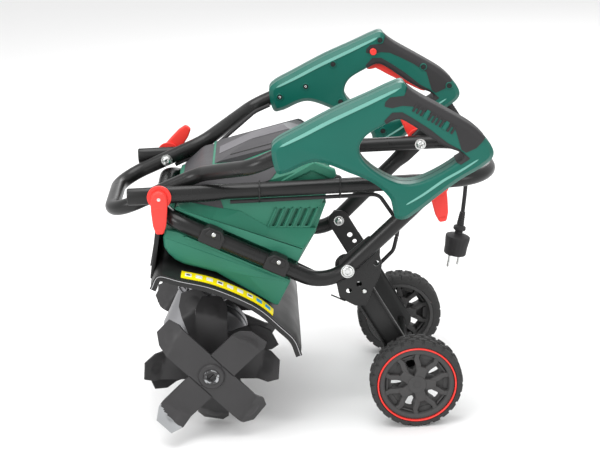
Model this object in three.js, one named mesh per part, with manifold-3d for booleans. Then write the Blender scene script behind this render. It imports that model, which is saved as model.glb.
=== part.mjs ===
// Folding electric tiller, folded for storage. Millimetres, +Z up, +X to the rear, -Y the left side.
// Side-view outlines are given as (x, z) points above the ground, and are swept along Y.
import * as THREE from 'three';
import { mergeVertices } from 'three/addons/utils/BufferGeometryUtils.js';
import Module from 'manifold-3d';

const wasm = await Module();
wasm.setup();

// ---- Driving dimensions ----
const GAP = 0.3;                      // clearance between touching pieces
const WALL = 3;                       // moulded wall thickness
const WHEEL_R = 65;
const WHEEL_WIDTH = 36;
const WHEEL_INNER_Y = 112;
const TYRE_BASE_R = 52.5;
const AXLE_R = 5;
const WHEEL_X = 217.5;
const TINE_R = 97;
const TINE_WIDTH = 44;
const TINE_SHEET = 4;
const TINE_X = -68.6;
const TINE_Z = 84;
const TINE_SHAFT_R = 11;
const STAR_Y = [150, 110, 70];        // half spacings of the three stars on each side
const STAR_ANGLE = [45, 0, 20];       // degrees that each star is turned by
const LOWER_TUBE_R = 11;
const LOWER_HALF = 112;
const LOWER_REAR_HALF = 118;
const LOWER_SLOPE = -0.46;
const LOWER_BEND_R = 55;
const MIDDLE_TUBE_R = 10.5;
const MIDDLE_HALF = 100;
const MIDDLE_END_R = 62;
const MIDDLE_FLAT_T = 16;             // thickness of the pressed front ends of the middle tube
const BAR_TUBE_R = 10.5;
const BAR_SLOPE = 0.455;
const HANDLE_HALF = 169;
const HANDLE_THICK = 39;
const REAR_PIVOT = [240, 348];
const FRONT_PIVOT = [-136, 331];
const WHEEL_PIVOT = [120, 227];
const BOLT_R = 4;
const LEG_WIDTH = 32;
const LEG_WEB_Y = 97;                 // inner face of the carriage legs
const LEG_SHEET = 3;
const LEG_FLANGE = 9;
const BODY_HALF = 88;                 // half width of the motor housing
const COVER_HALF = 110;               // half width of the lower cover
const FENDER_HALF = 152;
const FENDER_SHEET = 3;
const MOTOR_TILT = 24.7;              // degrees that the motor leans back
const WORM_CENTRES = 42;
const WORM_WHEEL_R = 30;
const STATOR_R = 40;
const CASE_R = 50;
const NECK_R = 34;
const LEVER_R = 16.5;
const CORD_D = 6.5;
const CABLE_D = 5.5;
const STAND_TILT = 2.7;               // degrees forward, so that wheels and lowest tines both stand
const ROUND_SIDES = 20;
const TUBE_SIDES = 12;

// ---- Solids ----
const solidOf = (geometry) => {
  const bare = geometry.clone();
  for (const key of Object.keys(bare.attributes)) if (key !== 'position') bare.deleteAttribute(key);
  const merged = mergeVertices(bare, 1e-4);
  const positions = merged.attributes.position.array;
  const index = Array.from(merged.index.array);
  const corner = (i) => new THREE.Vector3().fromArray(positions, 3 * i);
  const faces = [];
  let volume = 0;
  for (let i = 0; i < index.length; i += 3) {
    const [a, b, c] = index.slice(i, i + 3);
    if (a === b || b === c || c === a) continue;
    faces.push([a, b, c]);
    volume += corner(a).dot(corner(b).cross(corner(c)));
  }
  const triangles = volume < 0 ? faces.map(([a, b, c]) => [a, c, b]) : faces;
  return new wasm.Manifold(new wasm.Mesh({
    numProp: 3, vertProperties: new Float32Array(positions), triVerts: new Uint32Array(triangles.flat()),
  }));
};
const geometryOf = (solid) => {
  const { vertProperties, triVerts } = solid.getMesh();
  const geometry = new THREE.BufferGeometry();
  geometry.setAttribute('position', new THREE.BufferAttribute(new Float32Array(vertProperties), 3));
  geometry.setIndex(Array.from(triVerts));
  geometry.computeVertexNormals();
  return geometry;
};
const union = (...solids) => solids.reduce((sum, next) => sum.add(next));
const cutAll = (solid, tools) => tools.reduce((rest, tool) => rest.subtract(tool), solid);
const box = (x0, x1, y0, y1, z0, z1) => solidOf(
  new THREE.BoxGeometry(x1 - x0, y1 - y0, z1 - z0).translate((x0 + x1) / 2, (y0 + y1) / 2, (z0 + z1) / 2));
const shapeOf = (points) => new THREE.Shape(points.map(([x, z]) => new THREE.Vector2(x, z)));
// A side-view shape swept from y0 to y1, with an optional rounded edge of the given size.
const sweepY = (shape, y0, y1, edge = 0) => {
  const geometry = new THREE.ExtrudeGeometry(shape, {
    depth: y1 - y0 - 2 * edge, curveSegments: 8, bevelEnabled: edge > 0,
    bevelSize: edge, bevelThickness: edge, bevelOffset: -edge, bevelSegments: 3,
  });
  return solidOf(geometry.rotateX(Math.PI / 2).translate(0, y1 - edge, 0));
};
const slab = (points, y0, y1, edge = 0) => sweepY(shapeOf(points), y0, y1, edge);
const rodY = (radius, [x, z], y0, y1, sides = ROUND_SIDES) => solidOf(
  new THREE.CylinderGeometry(radius, radius, y1 - y0, sides).translate(x, (y0 + y1) / 2, z));
// A profile of (radius, y) points turned about an axis along Y.
const turnY = (profile, [x, z], sides = ROUND_SIDES) => solidOf(
  new THREE.LatheGeometry(profile.map(([r, y]) => new THREE.Vector2(r, y)), sides).translate(x, 0, z));
const ringProfile = (inner, outer, y0, y1) => [[inner, y0], [outer, y0], [outer, y1], [inner, y1], [inner, y0]];
const mirrored = (solid) => solidOf(geometryOf(solid).clone().scale(1, -1, 1));
const halfSpace = (side) => (side < 0 ? box(-600, 600, -400, -GAP / 2, -100, 900)
  : box(-600, 600, GAP / 2, 400, -100, 900));
const matrixSolid = (geometry, matrix) => solidOf(geometry.applyMatrix4(matrix));
// Each edge of an anticlockwise outline moved inwards by d.
const inset = (points, d) => points.map((p, i) => {
  const before = points[(i + points.length - 1) % points.length];
  const after = points[(i + 1) % points.length];
  const u = new THREE.Vector2(p[0] - before[0], p[1] - before[1]).normalize();
  const v = new THREE.Vector2(after[0] - p[0], after[1] - p[1]).normalize();
  const n = new THREE.Vector2(-u.y - v.y, u.x + v.x);
  const scale = 2 * d / n.lengthSq();
  return [p[0] + n.x * scale, p[1] + n.y * scale];
});
// Points along a rounded curve through the given corners, for outlines without sharp changes.
const smooth = (points, count, closed = true) => new THREE.CatmullRomCurve3(
  points.map(([x, z]) => new THREE.Vector3(x, z, 0)), closed, 'centripetal')
  .getPoints(count).slice(0, closed ? -1 : undefined).map((p) => [p.x, p.y]);

// ---- Bent tubes ----
// A route whose curve parameter runs from ring to ring, so that straight stretches take one step.
class Route extends THREE.Curve {
  constructor(points) { super(); this.points = points; }
  getPoint(t) {
    const last = this.points.length - 1;
    const i = Math.min(last - 1, Math.floor(t * last + 1e-9));
    return this.points[i].clone().lerp(this.points[i + 1], t * last - i);
  }
  getUtoTmapping(u) { return u; }
  getTangent(t) {
    const i = Math.round(t * (this.points.length - 1));
    const here = this.points[i];
    const ahead = (this.points[i + 1] ?? here).clone().sub(here).normalize();
    const behind = here.clone().sub(this.points[i - 1] ?? here).normalize();
    return ahead.add(behind).normalize();
  }
}
// Corners with each inner corner rounded to its radius.
const bent = (corners, radii) => {
  const points = [];
  corners.forEach((corner, i) => {
    const here = new THREE.Vector3(...corner);
    if (i === 0 || i === corners.length - 1) { points.push(here); return; }
    const back = new THREE.Vector3(...corners[i - 1]).sub(here).normalize();
    const on = new THREE.Vector3(...corners[i + 1]).sub(here).normalize();
    const half = back.angleTo(on) / 2;
    const radius = Array.isArray(radii) ? radii[i - 1] : radii;
    const centre = back.clone().add(on).normalize().multiplyScalar(radius / Math.sin(half)).add(here);
    const start = back.clone().multiplyScalar(radius / Math.tan(half)).add(here).sub(centre);
    const axis = start.clone().cross(on.clone().multiplyScalar(radius / Math.tan(half)).add(here).sub(centre));
    const turn = Math.PI - 2 * half;
    const steps = Math.max(2, Math.ceil(turn / 0.3));
    for (let k = 0; k <= steps; k += 1) {
      points.push(start.clone().applyAxisAngle(axis.clone().normalize(), turn * k / steps).add(centre));
    }
  });
  return points;
};
const tubeAlong = (points, radius, sides = TUBE_SIDES) => {
  const ring = Array.from({ length: sides }, (_, k) => {
    const a = 2 * Math.PI * (k + 0.5) / sides;
    return new THREE.Vector2(radius * Math.cos(a), radius * Math.sin(a));
  });
  return solidOf(new THREE.ExtrudeGeometry(new THREE.Shape(ring), {
    steps: points.length - 1, extrudePath: new Route(points), bevelEnabled: false,
  }));
};

// ---- Places worked out from the driving dimensions ----
const wheelCentre = [WHEEL_X, WHEEL_R];
const tineCentre = [TINE_X, TINE_Z];
const along = ([x, z], degrees, distance, across = 0) => {
  const a = THREE.MathUtils.degToRad(degrees);
  return [x + distance * Math.cos(a) - across * Math.sin(a), z + distance * Math.sin(a) + across * Math.cos(a)];
};
const angleTo = ([x0, z0], [x1, z1]) => THREE.MathUtils.radToDeg(Math.atan2(z1 - z0, x1 - x0));
const lowerZ = (x) => 244 + LOWER_SLOPE * x;
const riseAngle = angleTo(WHEEL_PIVOT, REAR_PIVOT);
const riseSlope = Math.tan(THREE.MathUtils.degToRad(riseAngle));
const lowerBendX = (244 - WHEEL_PIVOT[1] + riseSlope * WHEEL_PIVOT[0]) / (riseSlope - LOWER_SLOPE);
const middleZ = (x) => FRONT_PIVOT[1] + (x - FRONT_PIVOT[0]) * (REAR_PIVOT[1] - FRONT_PIVOT[1])
  / (REAR_PIVOT[0] - FRONT_PIVOT[0]);
const barZ = (x) => FRONT_PIVOT[1] + BAR_SLOPE * (x - FRONT_PIVOT[0]);
const middleOuter = MIDDLE_HALF + MIDDLE_TUBE_R;
const barHalf = middleOuter - MIDDLE_FLAT_T - GAP - BAR_TUBE_R;
const flatY = middleOuter + 2 * GAP;          // inner face of the lower frame's flattened rear ends
const FLAT_T = 8;
const TUBE_STOP = 30;                         // the round tube stops this far short of the rear pivot
const FLAT_REACH = 34;
const motorAxis = 90 - MOTOR_TILT;
const wormCentre = along(tineCentre, motorAxis + 90, WORM_CENTRES);

// ---- Materials ----
const finish = (color, roughness, metalness = 0) => new THREE.MeshStandardMaterial({ color, roughness, metalness });
const MATERIALS = {
  green: finish(0x1f7a66, 0.42),
  black: finish(0x262626, 0.55),
  softBlack: finish(0x1c1c1d, 0.8),
  grey: finish(0x77757a, 0.5),
  tyreGrey: finish(0x3a3a3c, 0.7),
  red: finish(0xe23a36, 0.4),
  tube: finish(0x2b2b2c, 0.4, 0.3),
  tine: finish(0x3c3b3c, 0.45, 0.4),
  zinc: finish(0xc9ccca, 0.3, 1),
  cast: finish(0xb4b5b6, 0.45, 0.9),
  brass: finish(0xb08d3a, 0.35, 1),
  copper: finish(0x9a5a34, 0.4, 0.8),
};
const machine = new THREE.Group();
const addPiece = (name, solid, material) => {
  const mesh = new THREE.Mesh(geometryOf(solid), MATERIALS[material]);
  mesh.name = name;
  machine.add(mesh);
};
const SIDES = [['left', -1], ['right', 1]];
// Builds a left-hand piece once and adds it and its mirror image.
const addPair = (name, leftSolid, material) => {
  addPiece(`${name}_left`, leftSolid, material);
  addPiece(`${name}_right`, mirrored(leftSolid), material);
};

// ---- Lower frame ----
const indexPlateOutline = [
  [104, 214], along(WHEEL_PIVOT, riseAngle, 56, -8), [165, 245], [168, 234], [167, 222], [162, 208], [156, 196],
  [147, 172], [132, 172], [110, 184], [106, 189],
];
const INDEX_R = 41;
const INDEX_NOW = -53.7;
const INDEX_STEP = 64;
const lockHole = along(WHEEL_PIVOT, INDEX_NOW, INDEX_R);
function lowerFrame() {
  const frontX = -136;
  const tubeEnd = along(REAR_PIVOT, riseAngle, -TUBE_STOP);
  const legSide = (sign) => [
    [tubeEnd[0], sign * LOWER_REAR_HALF, tubeEnd[1]],
    [lowerBendX, sign * LOWER_HALF, lowerZ(lowerBendX)],
    [frontX, sign * LOWER_HALF, lowerZ(frontX)],
  ];
  const route = bent([...legSide(-1), ...legSide(1).reverse()], [LOWER_BEND_R, 45, 45, LOWER_BEND_R]);
  let frame = tubeAlong(route, LOWER_TUBE_R);
  const flat = [
    along(REAR_PIVOT, riseAngle, -TUBE_STOP - 20, -11), along(REAR_PIVOT, riseAngle, -TUBE_STOP + 4, -13),
    along(REAR_PIVOT, riseAngle, FLAT_REACH, -13), along(REAR_PIVOT, riseAngle, FLAT_REACH, 13),
    along(REAR_PIVOT, riseAngle, -TUBE_STOP + 4, 13), along(REAR_PIVOT, riseAngle, -TUBE_STOP - 20, 11),
  ];
  for (const sign of [-1, 1]) {
    const reach = [sign * flatY, sign * (flatY + FLAT_T)].sort((a, b) => a - b);
    frame = frame.add(slab(flat, ...reach));
    frame = frame.subtract(rodY(BOLT_R + GAP, REAR_PIVOT, sign * 118 - 30, sign * 118 + 30));
    frame = frame.subtract(rodY(BOLT_R + GAP, WHEEL_PIVOT, sign * 118 - 30, sign * 118 + 30));
  }
  const holes = [
    rodY(4, along(WHEEL_PIVOT, INDEX_NOW + INDEX_STEP, INDEX_R), -130, -100, 12),
    rodY(4, along(WHEEL_PIVOT, INDEX_NOW, 28.5), -130, -100, 12), rodY(4, [123, 194], -130, -100, 12),
    rodY(4, lockHole, -130, -100, 12), rodY(BOLT_R + GAP, WHEEL_PIVOT, -140, -80),
  ];
  frame = frame.add(cutAll(slab(indexPlateOutline, -LOWER_HALF - 3, -LOWER_HALF), holes));
  return frame;
}
addPiece('lower_frame_tube', lowerFrame(), 'tube');

// ---- Motor housing, cap, lower cover and fender ----
const bodyOutline = [
  [46, 211], [101, 346], [90, 360], [62, 379], [36, 387], [16, 380], [-24, 364], [-62, 360], [-92, 355],
  [-113, 342], [-125, 322], [-120, 294],
];
const flareOutline = [
  [-119, lowerZ(-119) + LOWER_TUBE_R + 3], [52, lowerZ(52) + LOWER_TUBE_R + 3], [60, 256], [3, 260],
  [-62, 291], [-112, 317],
];
const coverOutline = [
  [-106, 233], [-61, 220], [19, 171], [25, 170], [43, 207], [40, lowerZ(40) - LOWER_TUBE_R - 3],
  [-112, lowerZ(-112) - LOWER_TUBE_R - 3], [-128, 285], [-133, 272], [-132, 258], [-126, 248], [-117, 239],
];
const ventSlots = Array.from({ length: 5 }, (_, k) => {
  const x = 16 + 11.5 * k;
  return slab([[x, 279], [x + 5, 279], [x + 16, 305], [x + 11, 305]], -BODY_HALF - 5, -BODY_HALF + 12);
});
const alongMotor = (radius, from, to, sides = ROUND_SIDES) => {
  const middle = along(wormCentre, motorAxis, (from + to) / 2);
  const turn = new THREE.Matrix4().makeRotationY(THREE.MathUtils.degToRad(MOTOR_TILT))
    .multiply(new THREE.Matrix4().makeRotationX(Math.PI / 2));
  turn.setPosition(middle[0], 0, middle[1]);
  return matrixSolid(new THREE.CylinderGeometry(radius, radius, to - from, sides), turn);
};
const motorOpening = alongMotor(NECK_R + 6, 30, 192);
// What lies below a plane that rises by slopeX per mm of x and falls by slopeY per mm away from the middle on the left.
function leftBelow(solid, [x, y, z], slopeX, slopeY) {
  const length = Math.hypot(slopeX, slopeY, 1);
  return solid.trimByPlane([slopeX, slopeY, -1], (slopeX * x + slopeY * y - z) / length);
}
const SHOULDER = [[75, -80, 376], 0.32, 1.2];
// The left half of the housing, with a sloping shoulder that the folded handle bar passes over.
function housingHalf() {
  const [[x, y, z], ...slopes] = SHOULDER;
  const outer = leftBelow(slab(bodyOutline, -BODY_HALF, BODY_HALF, 12).intersect(halfSpace(-1)), ...SHOULDER);
  const hollow = slab(inset(bodyOutline, WALL), -BODY_HALF + WALL, BODY_HALF - WALL, 7);
  const inner = leftBelow(hollow, [x, y, z - 2 * WALL], ...slopes);
  const flare = slab(flareOutline, -COVER_HALF + 4, -BODY_HALF + 4, 1.5);
  return cutAll(outer.subtract(inner).add(flare), [motorOpening, ...ventSlots]);
}
addPair('housing', housingHalf(), 'green');

const CAP_HALF = 60;
const CAP_CREST = [[34, 0, 403.5], 0.27, 0.225];
const capOutline = [
  [-62, 350], [-62, 363], [-13, 386], [20, 399], [34, 403.5], [61, 396], [80, 382], [86, 372], [86, 355],
].reverse();
const slopedLeft = leftBelow(slab(capOutline, -CAP_HALF, CAP_HALF), ...CAP_CREST);
const slopedBoth = leftBelow(mirrored(slopedLeft), ...CAP_CREST);
addPiece('motor_cap', slopedBoth.subtract(slab(inset(bodyOutline, -GAP), -BODY_HALF, BODY_HALF)), 'grey');

function lowerCover() {
  const outer = slab(coverOutline, -COVER_HALF, COVER_HALF, 6);
  const inner = slab(inset(coverOutline, WALL), -COVER_HALF + WALL, COVER_HALF - WALL);
  const top = slab(inset(bodyOutline, -GAP), -BODY_HALF - GAP, BODY_HALF + GAP);
  return cutAll(outer.subtract(inner).intersect(halfSpace(-1)), [motorOpening, top]);
}
addPair('lower_cover', lowerCover(), 'green');

// The fender follows the under side of the lower cover and falls away to the rear.
const fenderLine = [
  [-150, 214], [-138, 233], [-108, 226], [-61, 214], [-5, 187], [30, 156], [48, 137], [57, 114],
];
function fender() {
  const top = smooth(fenderLine, 20, false);
  const moved = (dx, dz) => top.map(([x, z]) => [x - dx, z - dz]).reverse();
  const sheet = slab([...top, ...moved(1.2, FENDER_SHEET)], -FENDER_HALF, FENDER_HALF);
  const lip = slab([...top, ...moved(2.6, 9)], -FENDER_HALF, -FENDER_HALF + FENDER_SHEET);
  const shield = slab([[-152, 214], [-147, 214], [-136, 284], [-143, 284]], -COVER_HALF, COVER_HALF);
  const cover = slab(inset(coverOutline, -GAP), -COVER_HALF - GAP, COVER_HALF + GAP);
  return cutAll(union(sheet, lip, mirrored(lip), shield), [cover, alongMotor(NECK_R + 6, 20, 150)]);
}
addPiece('fender', fender(), 'black');

function clampAt(x) {
  const centre = [x, lowerZ(x)];
  const tilt = THREE.MathUtils.radToDeg(Math.atan(LOWER_SLOPE));
  const outline = [
    along(centre, tilt, -16, -9), along(centre, tilt, 16, -9), along(centre, tilt, 16, 14),
    along(centre, tilt, 9, 24), along(centre, tilt, -9, 24), along(centre, tilt, -16, 14),
  ];
  const strap = slab(outline, -LOWER_HALF - LOWER_TUBE_R - 3, -COVER_HALF + 4 - GAP);
  const lie = new THREE.Matrix4().makeRotationY(THREE.MathUtils.degToRad(-tilt))
    .multiply(new THREE.Matrix4().makeRotationZ(Math.PI / 2));
  lie.setPosition(centre[0], -LOWER_HALF, centre[1]);
  const seatR = (LOWER_TUBE_R + 2 * GAP) / Math.cos(Math.PI / TUBE_SIDES);
  return strap.subtract(matrixSolid(new THREE.CylinderGeometry(seatR, seatR, 60, TUBE_SIDES), lie));
}
[['front', -66], ['rear', 22]].forEach(([name, x]) => addPair(`frame_clamp_${name}`, clampAt(x), 'black'));

// ---- Motor and worm drive ----
const housingMotor = { from: 196, to: 240 };
addPiece('motor_stator', alongMotor(STATOR_R, housingMotor.from, housingMotor.to).subtract(
  alongMotor(24, housingMotor.from - 5, housingMotor.to + 5)), 'copper');
addPiece('motor_rotor', union(
  alongMotor(WORM_CENTRES - WORM_WHEEL_R - 1, -24, 24, 12), alongMotor(6, -34, 255, 12),
  alongMotor(23.4, housingMotor.from + 4, housingMotor.to - 4), alongMotor(33, 244, 251)), 'zinc');
function gearCase() {
  const ribs = [-24, -8, 8, 24].map((offset) => {
    const line = (d, w) => along(wormCentre, motorAxis, d, offset + w);
    return slab([line(44, -1.5), line(44, 1.5), line(86, 1.5), line(86, -1.5)].reverse(), -NECK_R - 3, 0);
  });
  const outer = union(
    sweepY(new THREE.Shape().absarc(...tineCentre, CASE_R, 0, 2 * Math.PI), -24, 24, 3),
    rodY(22, tineCentre, -44, 44), alongMotor(NECK_R, -18, 192), ...ribs);
  const hollow = [
    rodY(WORM_WHEEL_R + 6, tineCentre, -14, 14), alongMotor(18, -40, 200, 16),
    rodY(TINE_SHAFT_R + GAP, tineCentre, -60, 60),
  ];
  return cutAll(outer, hollow).intersect(halfSpace(-1));
}
addPair('gearbox', gearCase(), 'cast');

// ---- Tine rotor ----
addPiece('tine_shaft', turnY(ringProfile(6.5, TINE_SHAFT_R, -STAR_Y[0] - 7, STAR_Y[0] + 7), tineCentre), 'tine');
function wormWheel() {
  const teeth = 30;
  const shape = shapeOf(Array.from({ length: 2 * teeth }, (_, k) => {
    const r = k % 2 ? WORM_WHEEL_R : WORM_WHEEL_R - 2.5;
    return along(tineCentre, 180 * k / teeth, r);
  }));
  return sweepY(shape, -7, 7).subtract(rodY(TINE_SHAFT_R + GAP, tineCentre, -20, 20));
}
addPiece('worm_wheel', wormWheel(), 'brass');
// Four blades from one sheet, with a slanted fold near each end and the tips bent to either side.
function tineStar(y, degrees, turnOver) {
  const half = TINE_WIDTH / 2;
  const near = turnOver ? 62 : 74;
  const far = turnOver ? 74 : 62;
  const pieces = [rodY(TINE_SHAFT_R + 8, tineCentre, y - 5, y + 5)];
  for (let k = 0; k < 4; k += 1) {
    const a = degrees + 90 * k;
    const at = (r, w) => along(tineCentre, a, r, w);
    pieces.push(slab([at(0, -half), at(far, -half), at(near, half), at(0, half)], y - TINE_SHEET / 2, y + TINE_SHEET / 2));
    const lean = k % 2 ? 1 : -1;
    const tip = new THREE.Shape([[-2, -half], [TINE_R - 62, -half + 9], [TINE_R - 62, half - 9], [-2, half]]
      .map(([u, w]) => new THREE.Vector2(u, w)));
    const place = new THREE.Matrix4().makeRotationY(-THREE.MathUtils.degToRad(a));
    place.setPosition(tineCentre[0], y, tineCentre[1]);
    const bend = new THREE.Matrix4().makeTranslation(68, 0, 0)
      .multiply(new THREE.Matrix4().makeRotationY(Math.atan2(12, TINE_WIDTH) * (turnOver ? -1 : 1)))
      .multiply(new THREE.Matrix4().makeRotationZ(lean * 0.75))
      .multiply(new THREE.Matrix4().makeRotationX(Math.PI / 2));
    const geometry = new THREE.ExtrudeGeometry(tip, { depth: TINE_SHEET, bevelEnabled: false })
      .translate(0, 0, -TINE_SHEET / 2);
    pieces.push(matrixSolid(geometry, place.multiply(bend)));
  }
  return union(...pieces).subtract(rodY(TINE_SHAFT_R + GAP, tineCentre, y - 30, y + 30));
}
STAR_Y.forEach((y, k) => {
  addPiece(`tine_star_left_${k + 1}`, tineStar(-y, STAR_ANGLE[k], k === 1), 'tine');
  addPiece(`tine_star_right_${k + 1}`, tineStar(y, STAR_ANGLE[k] + 45, k !== 1), 'tine');
});

// ---- Wheel carriage ----
const legAngle = angleTo(WHEEL_PIVOT, wheelCentre);
const legLength = Math.hypot(wheelCentre[0] - WHEEL_PIVOT[0], wheelCentre[1] - WHEEL_PIVOT[1]);
function carriageLeg() {
  const half = LEG_WIDTH / 2;
  const outline = new THREE.Shape();
  const start = THREE.MathUtils.degToRad(legAngle + 90);
  outline.absarc(...WHEEL_PIVOT, half, start, start + Math.PI);
  outline.absarc(...wheelCentre, half, start + Math.PI, start + 2 * Math.PI);
  const web = sweepY(outline, -LEG_WEB_Y - LEG_SHEET, -LEG_WEB_Y);
  const flange = (w0, w1) => slab([
    along(WHEEL_PIVOT, legAngle, 40, w0), along(WHEEL_PIVOT, legAngle, legLength - 16, w0),
    along(WHEEL_PIVOT, legAngle, legLength - 16, w1), along(WHEEL_PIVOT, legAngle, 40, w1),
  ], -LEG_WEB_Y - LEG_FLANGE, -LEG_WEB_Y);
  const reach = [-LEG_WEB_Y - LEG_FLANGE - 2, -LEG_WEB_Y + 2];
  return cutAll(union(web, flange(-half, -half + LEG_SHEET), flange(half - LEG_SHEET, half)), [
    rodY(BOLT_R + GAP, WHEEL_PIVOT, ...reach), rodY(AXLE_R + GAP, wheelCentre, ...reach),
    rodY(4, along(WHEEL_PIVOT, INDEX_NOW, 28.5), ...reach, 12), rodY(3 + GAP, lockHole, ...reach, 12),
  ]);
}
addPair('carriage_leg', carriageLeg(), 'black');
const wheelOuterY = WHEEL_INNER_Y + WHEEL_WIDTH;
addPiece('wheel_axle', rodY(AXLE_R, wheelCentre, -wheelOuterY + 8, wheelOuterY - 8, 16), 'zinc');
addPiece('index_pin', union(rodY(3, lockHole, -LOWER_HALF + GAP, -LEG_WEB_Y + 12, 12),
  rodY(7, lockHole, -LEG_WEB_Y + GAP, -LEG_WEB_Y + 12, 12)), 'zinc');
function wheelParts() {
  const inner = -WHEEL_INNER_Y;
  const outer = -wheelOuterY;
  const ringIn = outer + 8;
  const tyre = turnY([
    [TYRE_BASE_R + GAP, inner], [WHEEL_R - 4, inner], [WHEEL_R, inner - 5], [WHEEL_R, outer + 6],
    [WHEEL_R - 5, outer], [TYRE_BASE_R + 3, outer], [TYRE_BASE_R + 3, ringIn], [TYRE_BASE_R + GAP, ringIn],
    [TYRE_BASE_R + GAP, inner],
  ], wheelCentre, 32);
  const ring = turnY(ringProfile(TYRE_BASE_R + GAP, TYRE_BASE_R + 3 - GAP, outer - 1, ringIn - GAP), wheelCentre, 32);
  const rimShell = turnY([
    [TYRE_BASE_R - 5, inner - 2], [TYRE_BASE_R, inner - 2], [TYRE_BASE_R, outer + 1], [TYRE_BASE_R - 5, outer + 1],
    [TYRE_BASE_R - 5, inner - 2],
  ], wheelCentre, 32);
  const spokes = Array.from({ length: 5 }, (_, k) => {
    const a = 90 + 72 * k;
    const outline = [along(wheelCentre, a, 8, -8), along(wheelCentre, a, TYRE_BASE_R - 3, -10),
      along(wheelCentre, a, TYRE_BASE_R - 3, 10), along(wheelCentre, a, 8, 8)];
    return slab(outline, outer + 3, outer + 11);
  });
  const hub = rodY(13, wheelCentre, outer + 1, inner - 2);
  const rim = union(rimShell, ...spokes, hub).subtract(rodY(AXLE_R + GAP, wheelCentre, outer + 6, inner));
  return { tyre, ring, rim };
}
const wheel = wheelParts();
addPair('wheel_rim', wheel.rim, 'tyreGrey');
addPair('wheel_tyre', wheel.tyre, 'tyreGrey');
addPair('wheel_ring', wheel.ring, 'red');

// ---- Middle frame and handle bar ----
const middleFrontX = -180;
const MIDDLE_REAR_X = 320.5;
const FLAT_END_X = -50;
function middleFrame() {
  const roundLeg = (sign) => [[FLAT_END_X - 20, sign * MIDDLE_HALF, middleZ(FLAT_END_X - 20)],
    [MIDDLE_REAR_X, sign * MIDDLE_HALF, middleZ(MIDDLE_REAR_X)]];
  const route = bent([...roundLeg(-1), ...roundLeg(1).reverse()], MIDDLE_END_R);
  let frame = tubeAlong(route, MIDDLE_TUBE_R);
  const tilt = angleTo(FRONT_PIVOT, REAR_PIVOT);
  const start = [middleFrontX, middleZ(middleFrontX)];
  const length = (FLAT_END_X - middleFrontX) / Math.cos(THREE.MathUtils.degToRad(tilt));
  const outline = [along(start, tilt, 0, -12), along(start, tilt, length, -12),
    along(start, tilt, length, 12), along(start, tilt, 0, 12)];
  for (const sign of [-1, 1]) {
    const sides = [sign * (middleOuter - MIDDLE_FLAT_T), sign * middleOuter].sort((a, b) => a - b);
    frame = frame.add(slab(outline, ...sides, 5));
    frame = frame.subtract(rodY(BOLT_R + GAP, FRONT_PIVOT, sign * 100 - 25, sign * 100 + 25));
    frame = frame.subtract(rodY(BOLT_R + GAP, REAR_PIVOT, sign * 100 - 25, sign * 100 + 25));
  }
  return frame;
}
addPiece('middle_frame_tube', middleFrame(), 'tube');
const BAR_FRONT_X = -206;
const BAR_IN_HANDLE_X = 104;
function handleBar() {
  const leg = (sign) => [
    [BAR_IN_HANDLE_X, sign * HANDLE_HALF, barZ(BAR_IN_HANDLE_X)], [-8, sign * HANDLE_HALF, barZ(-8)],
    [-82, sign * barHalf, barZ(-82)], [BAR_FRONT_X, sign * barHalf, barZ(BAR_FRONT_X)],
  ];
  const route = bent([...leg(-1), ...leg(1).reverse()], [42, 42, 42, 42, 42, 42]);
  let bar = tubeAlong(route, BAR_TUBE_R);
  for (const sign of [-1, 1]) {
    bar = bar.subtract(rodY(BOLT_R + GAP, FRONT_PIVOT, sign * barHalf - 20, sign * barHalf + 20));
  }
  return bar;
}
addPiece('handle_bar_tube', handleBar(), 'tube');

// ---- Pivot bolts and cam levers ----
// A round-headed bolt from its inner head at y0 out to its outer face at y1, on the left side.
const pivotBolt = (centre, innerY, outerY, headR, cupR) => union(
  turnY([[0, -innerY + 4.5], [headR * 0.6, -innerY + 3.6], [headR, -innerY], [0, -innerY]].reverse(), centre),
  rodY(BOLT_R, centre, -outerY - 1, -innerY + 1),
  rodY(cupR, centre, -outerY - 3, -outerY));
addPair('wheel_pivot_bolt', pivotBolt(WHEEL_PIVOT, LEG_WEB_Y - GAP, LOWER_REAR_HALF + 10, 7, 8), 'zinc');
const leverBase = middleOuter + GAP;
addPair('front_pivot_bolt', pivotBolt(FRONT_PIVOT, barHalf - BAR_TUBE_R - GAP, leverBase, 7, LEVER_R), 'zinc');
const rearLeverBase = flatY + FLAT_T + GAP;
addPair('rear_pivot_bolt', pivotBolt(REAR_PIVOT, MIDDLE_HALF - MIDDLE_TUBE_R - GAP, rearLeverBase, 7, LEVER_R), 'zinc');
// A cam lever on the left side, its tab pointing along the given direction in side view.
function camLever(centre, baseY, degrees) {
  const y1 = -baseY - 3 - GAP;
  const at = (r, w) => along(centre, degrees, r, w);
  const tab = [at(-11, -10), at(14, -10.5), at(38, -9), at(50, -2), at(50, 2), at(38, 9), at(14, 10.5), at(-11, 10)];
  return union(slab(tab, y1 - 9, y1, 2), rodY(9, centre, y1 - 5, y1));
}
const LEVER_AIM = { front_left: -90, rear_left: -80, front_right: 52, rear_right: 120 };
const leverCentre = { front: FRONT_PIVOT, rear: REAR_PIVOT };
for (const [key, aim] of Object.entries(LEVER_AIM)) {
  const [place, side] = key.split('_');
  const left = camLever(leverCentre[place], place === 'front' ? leverBase : rearLeverBase, aim);
  addPiece(`cam_lever_${key}`, side === 'left' ? left : mirrored(left), 'red');
}

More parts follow.
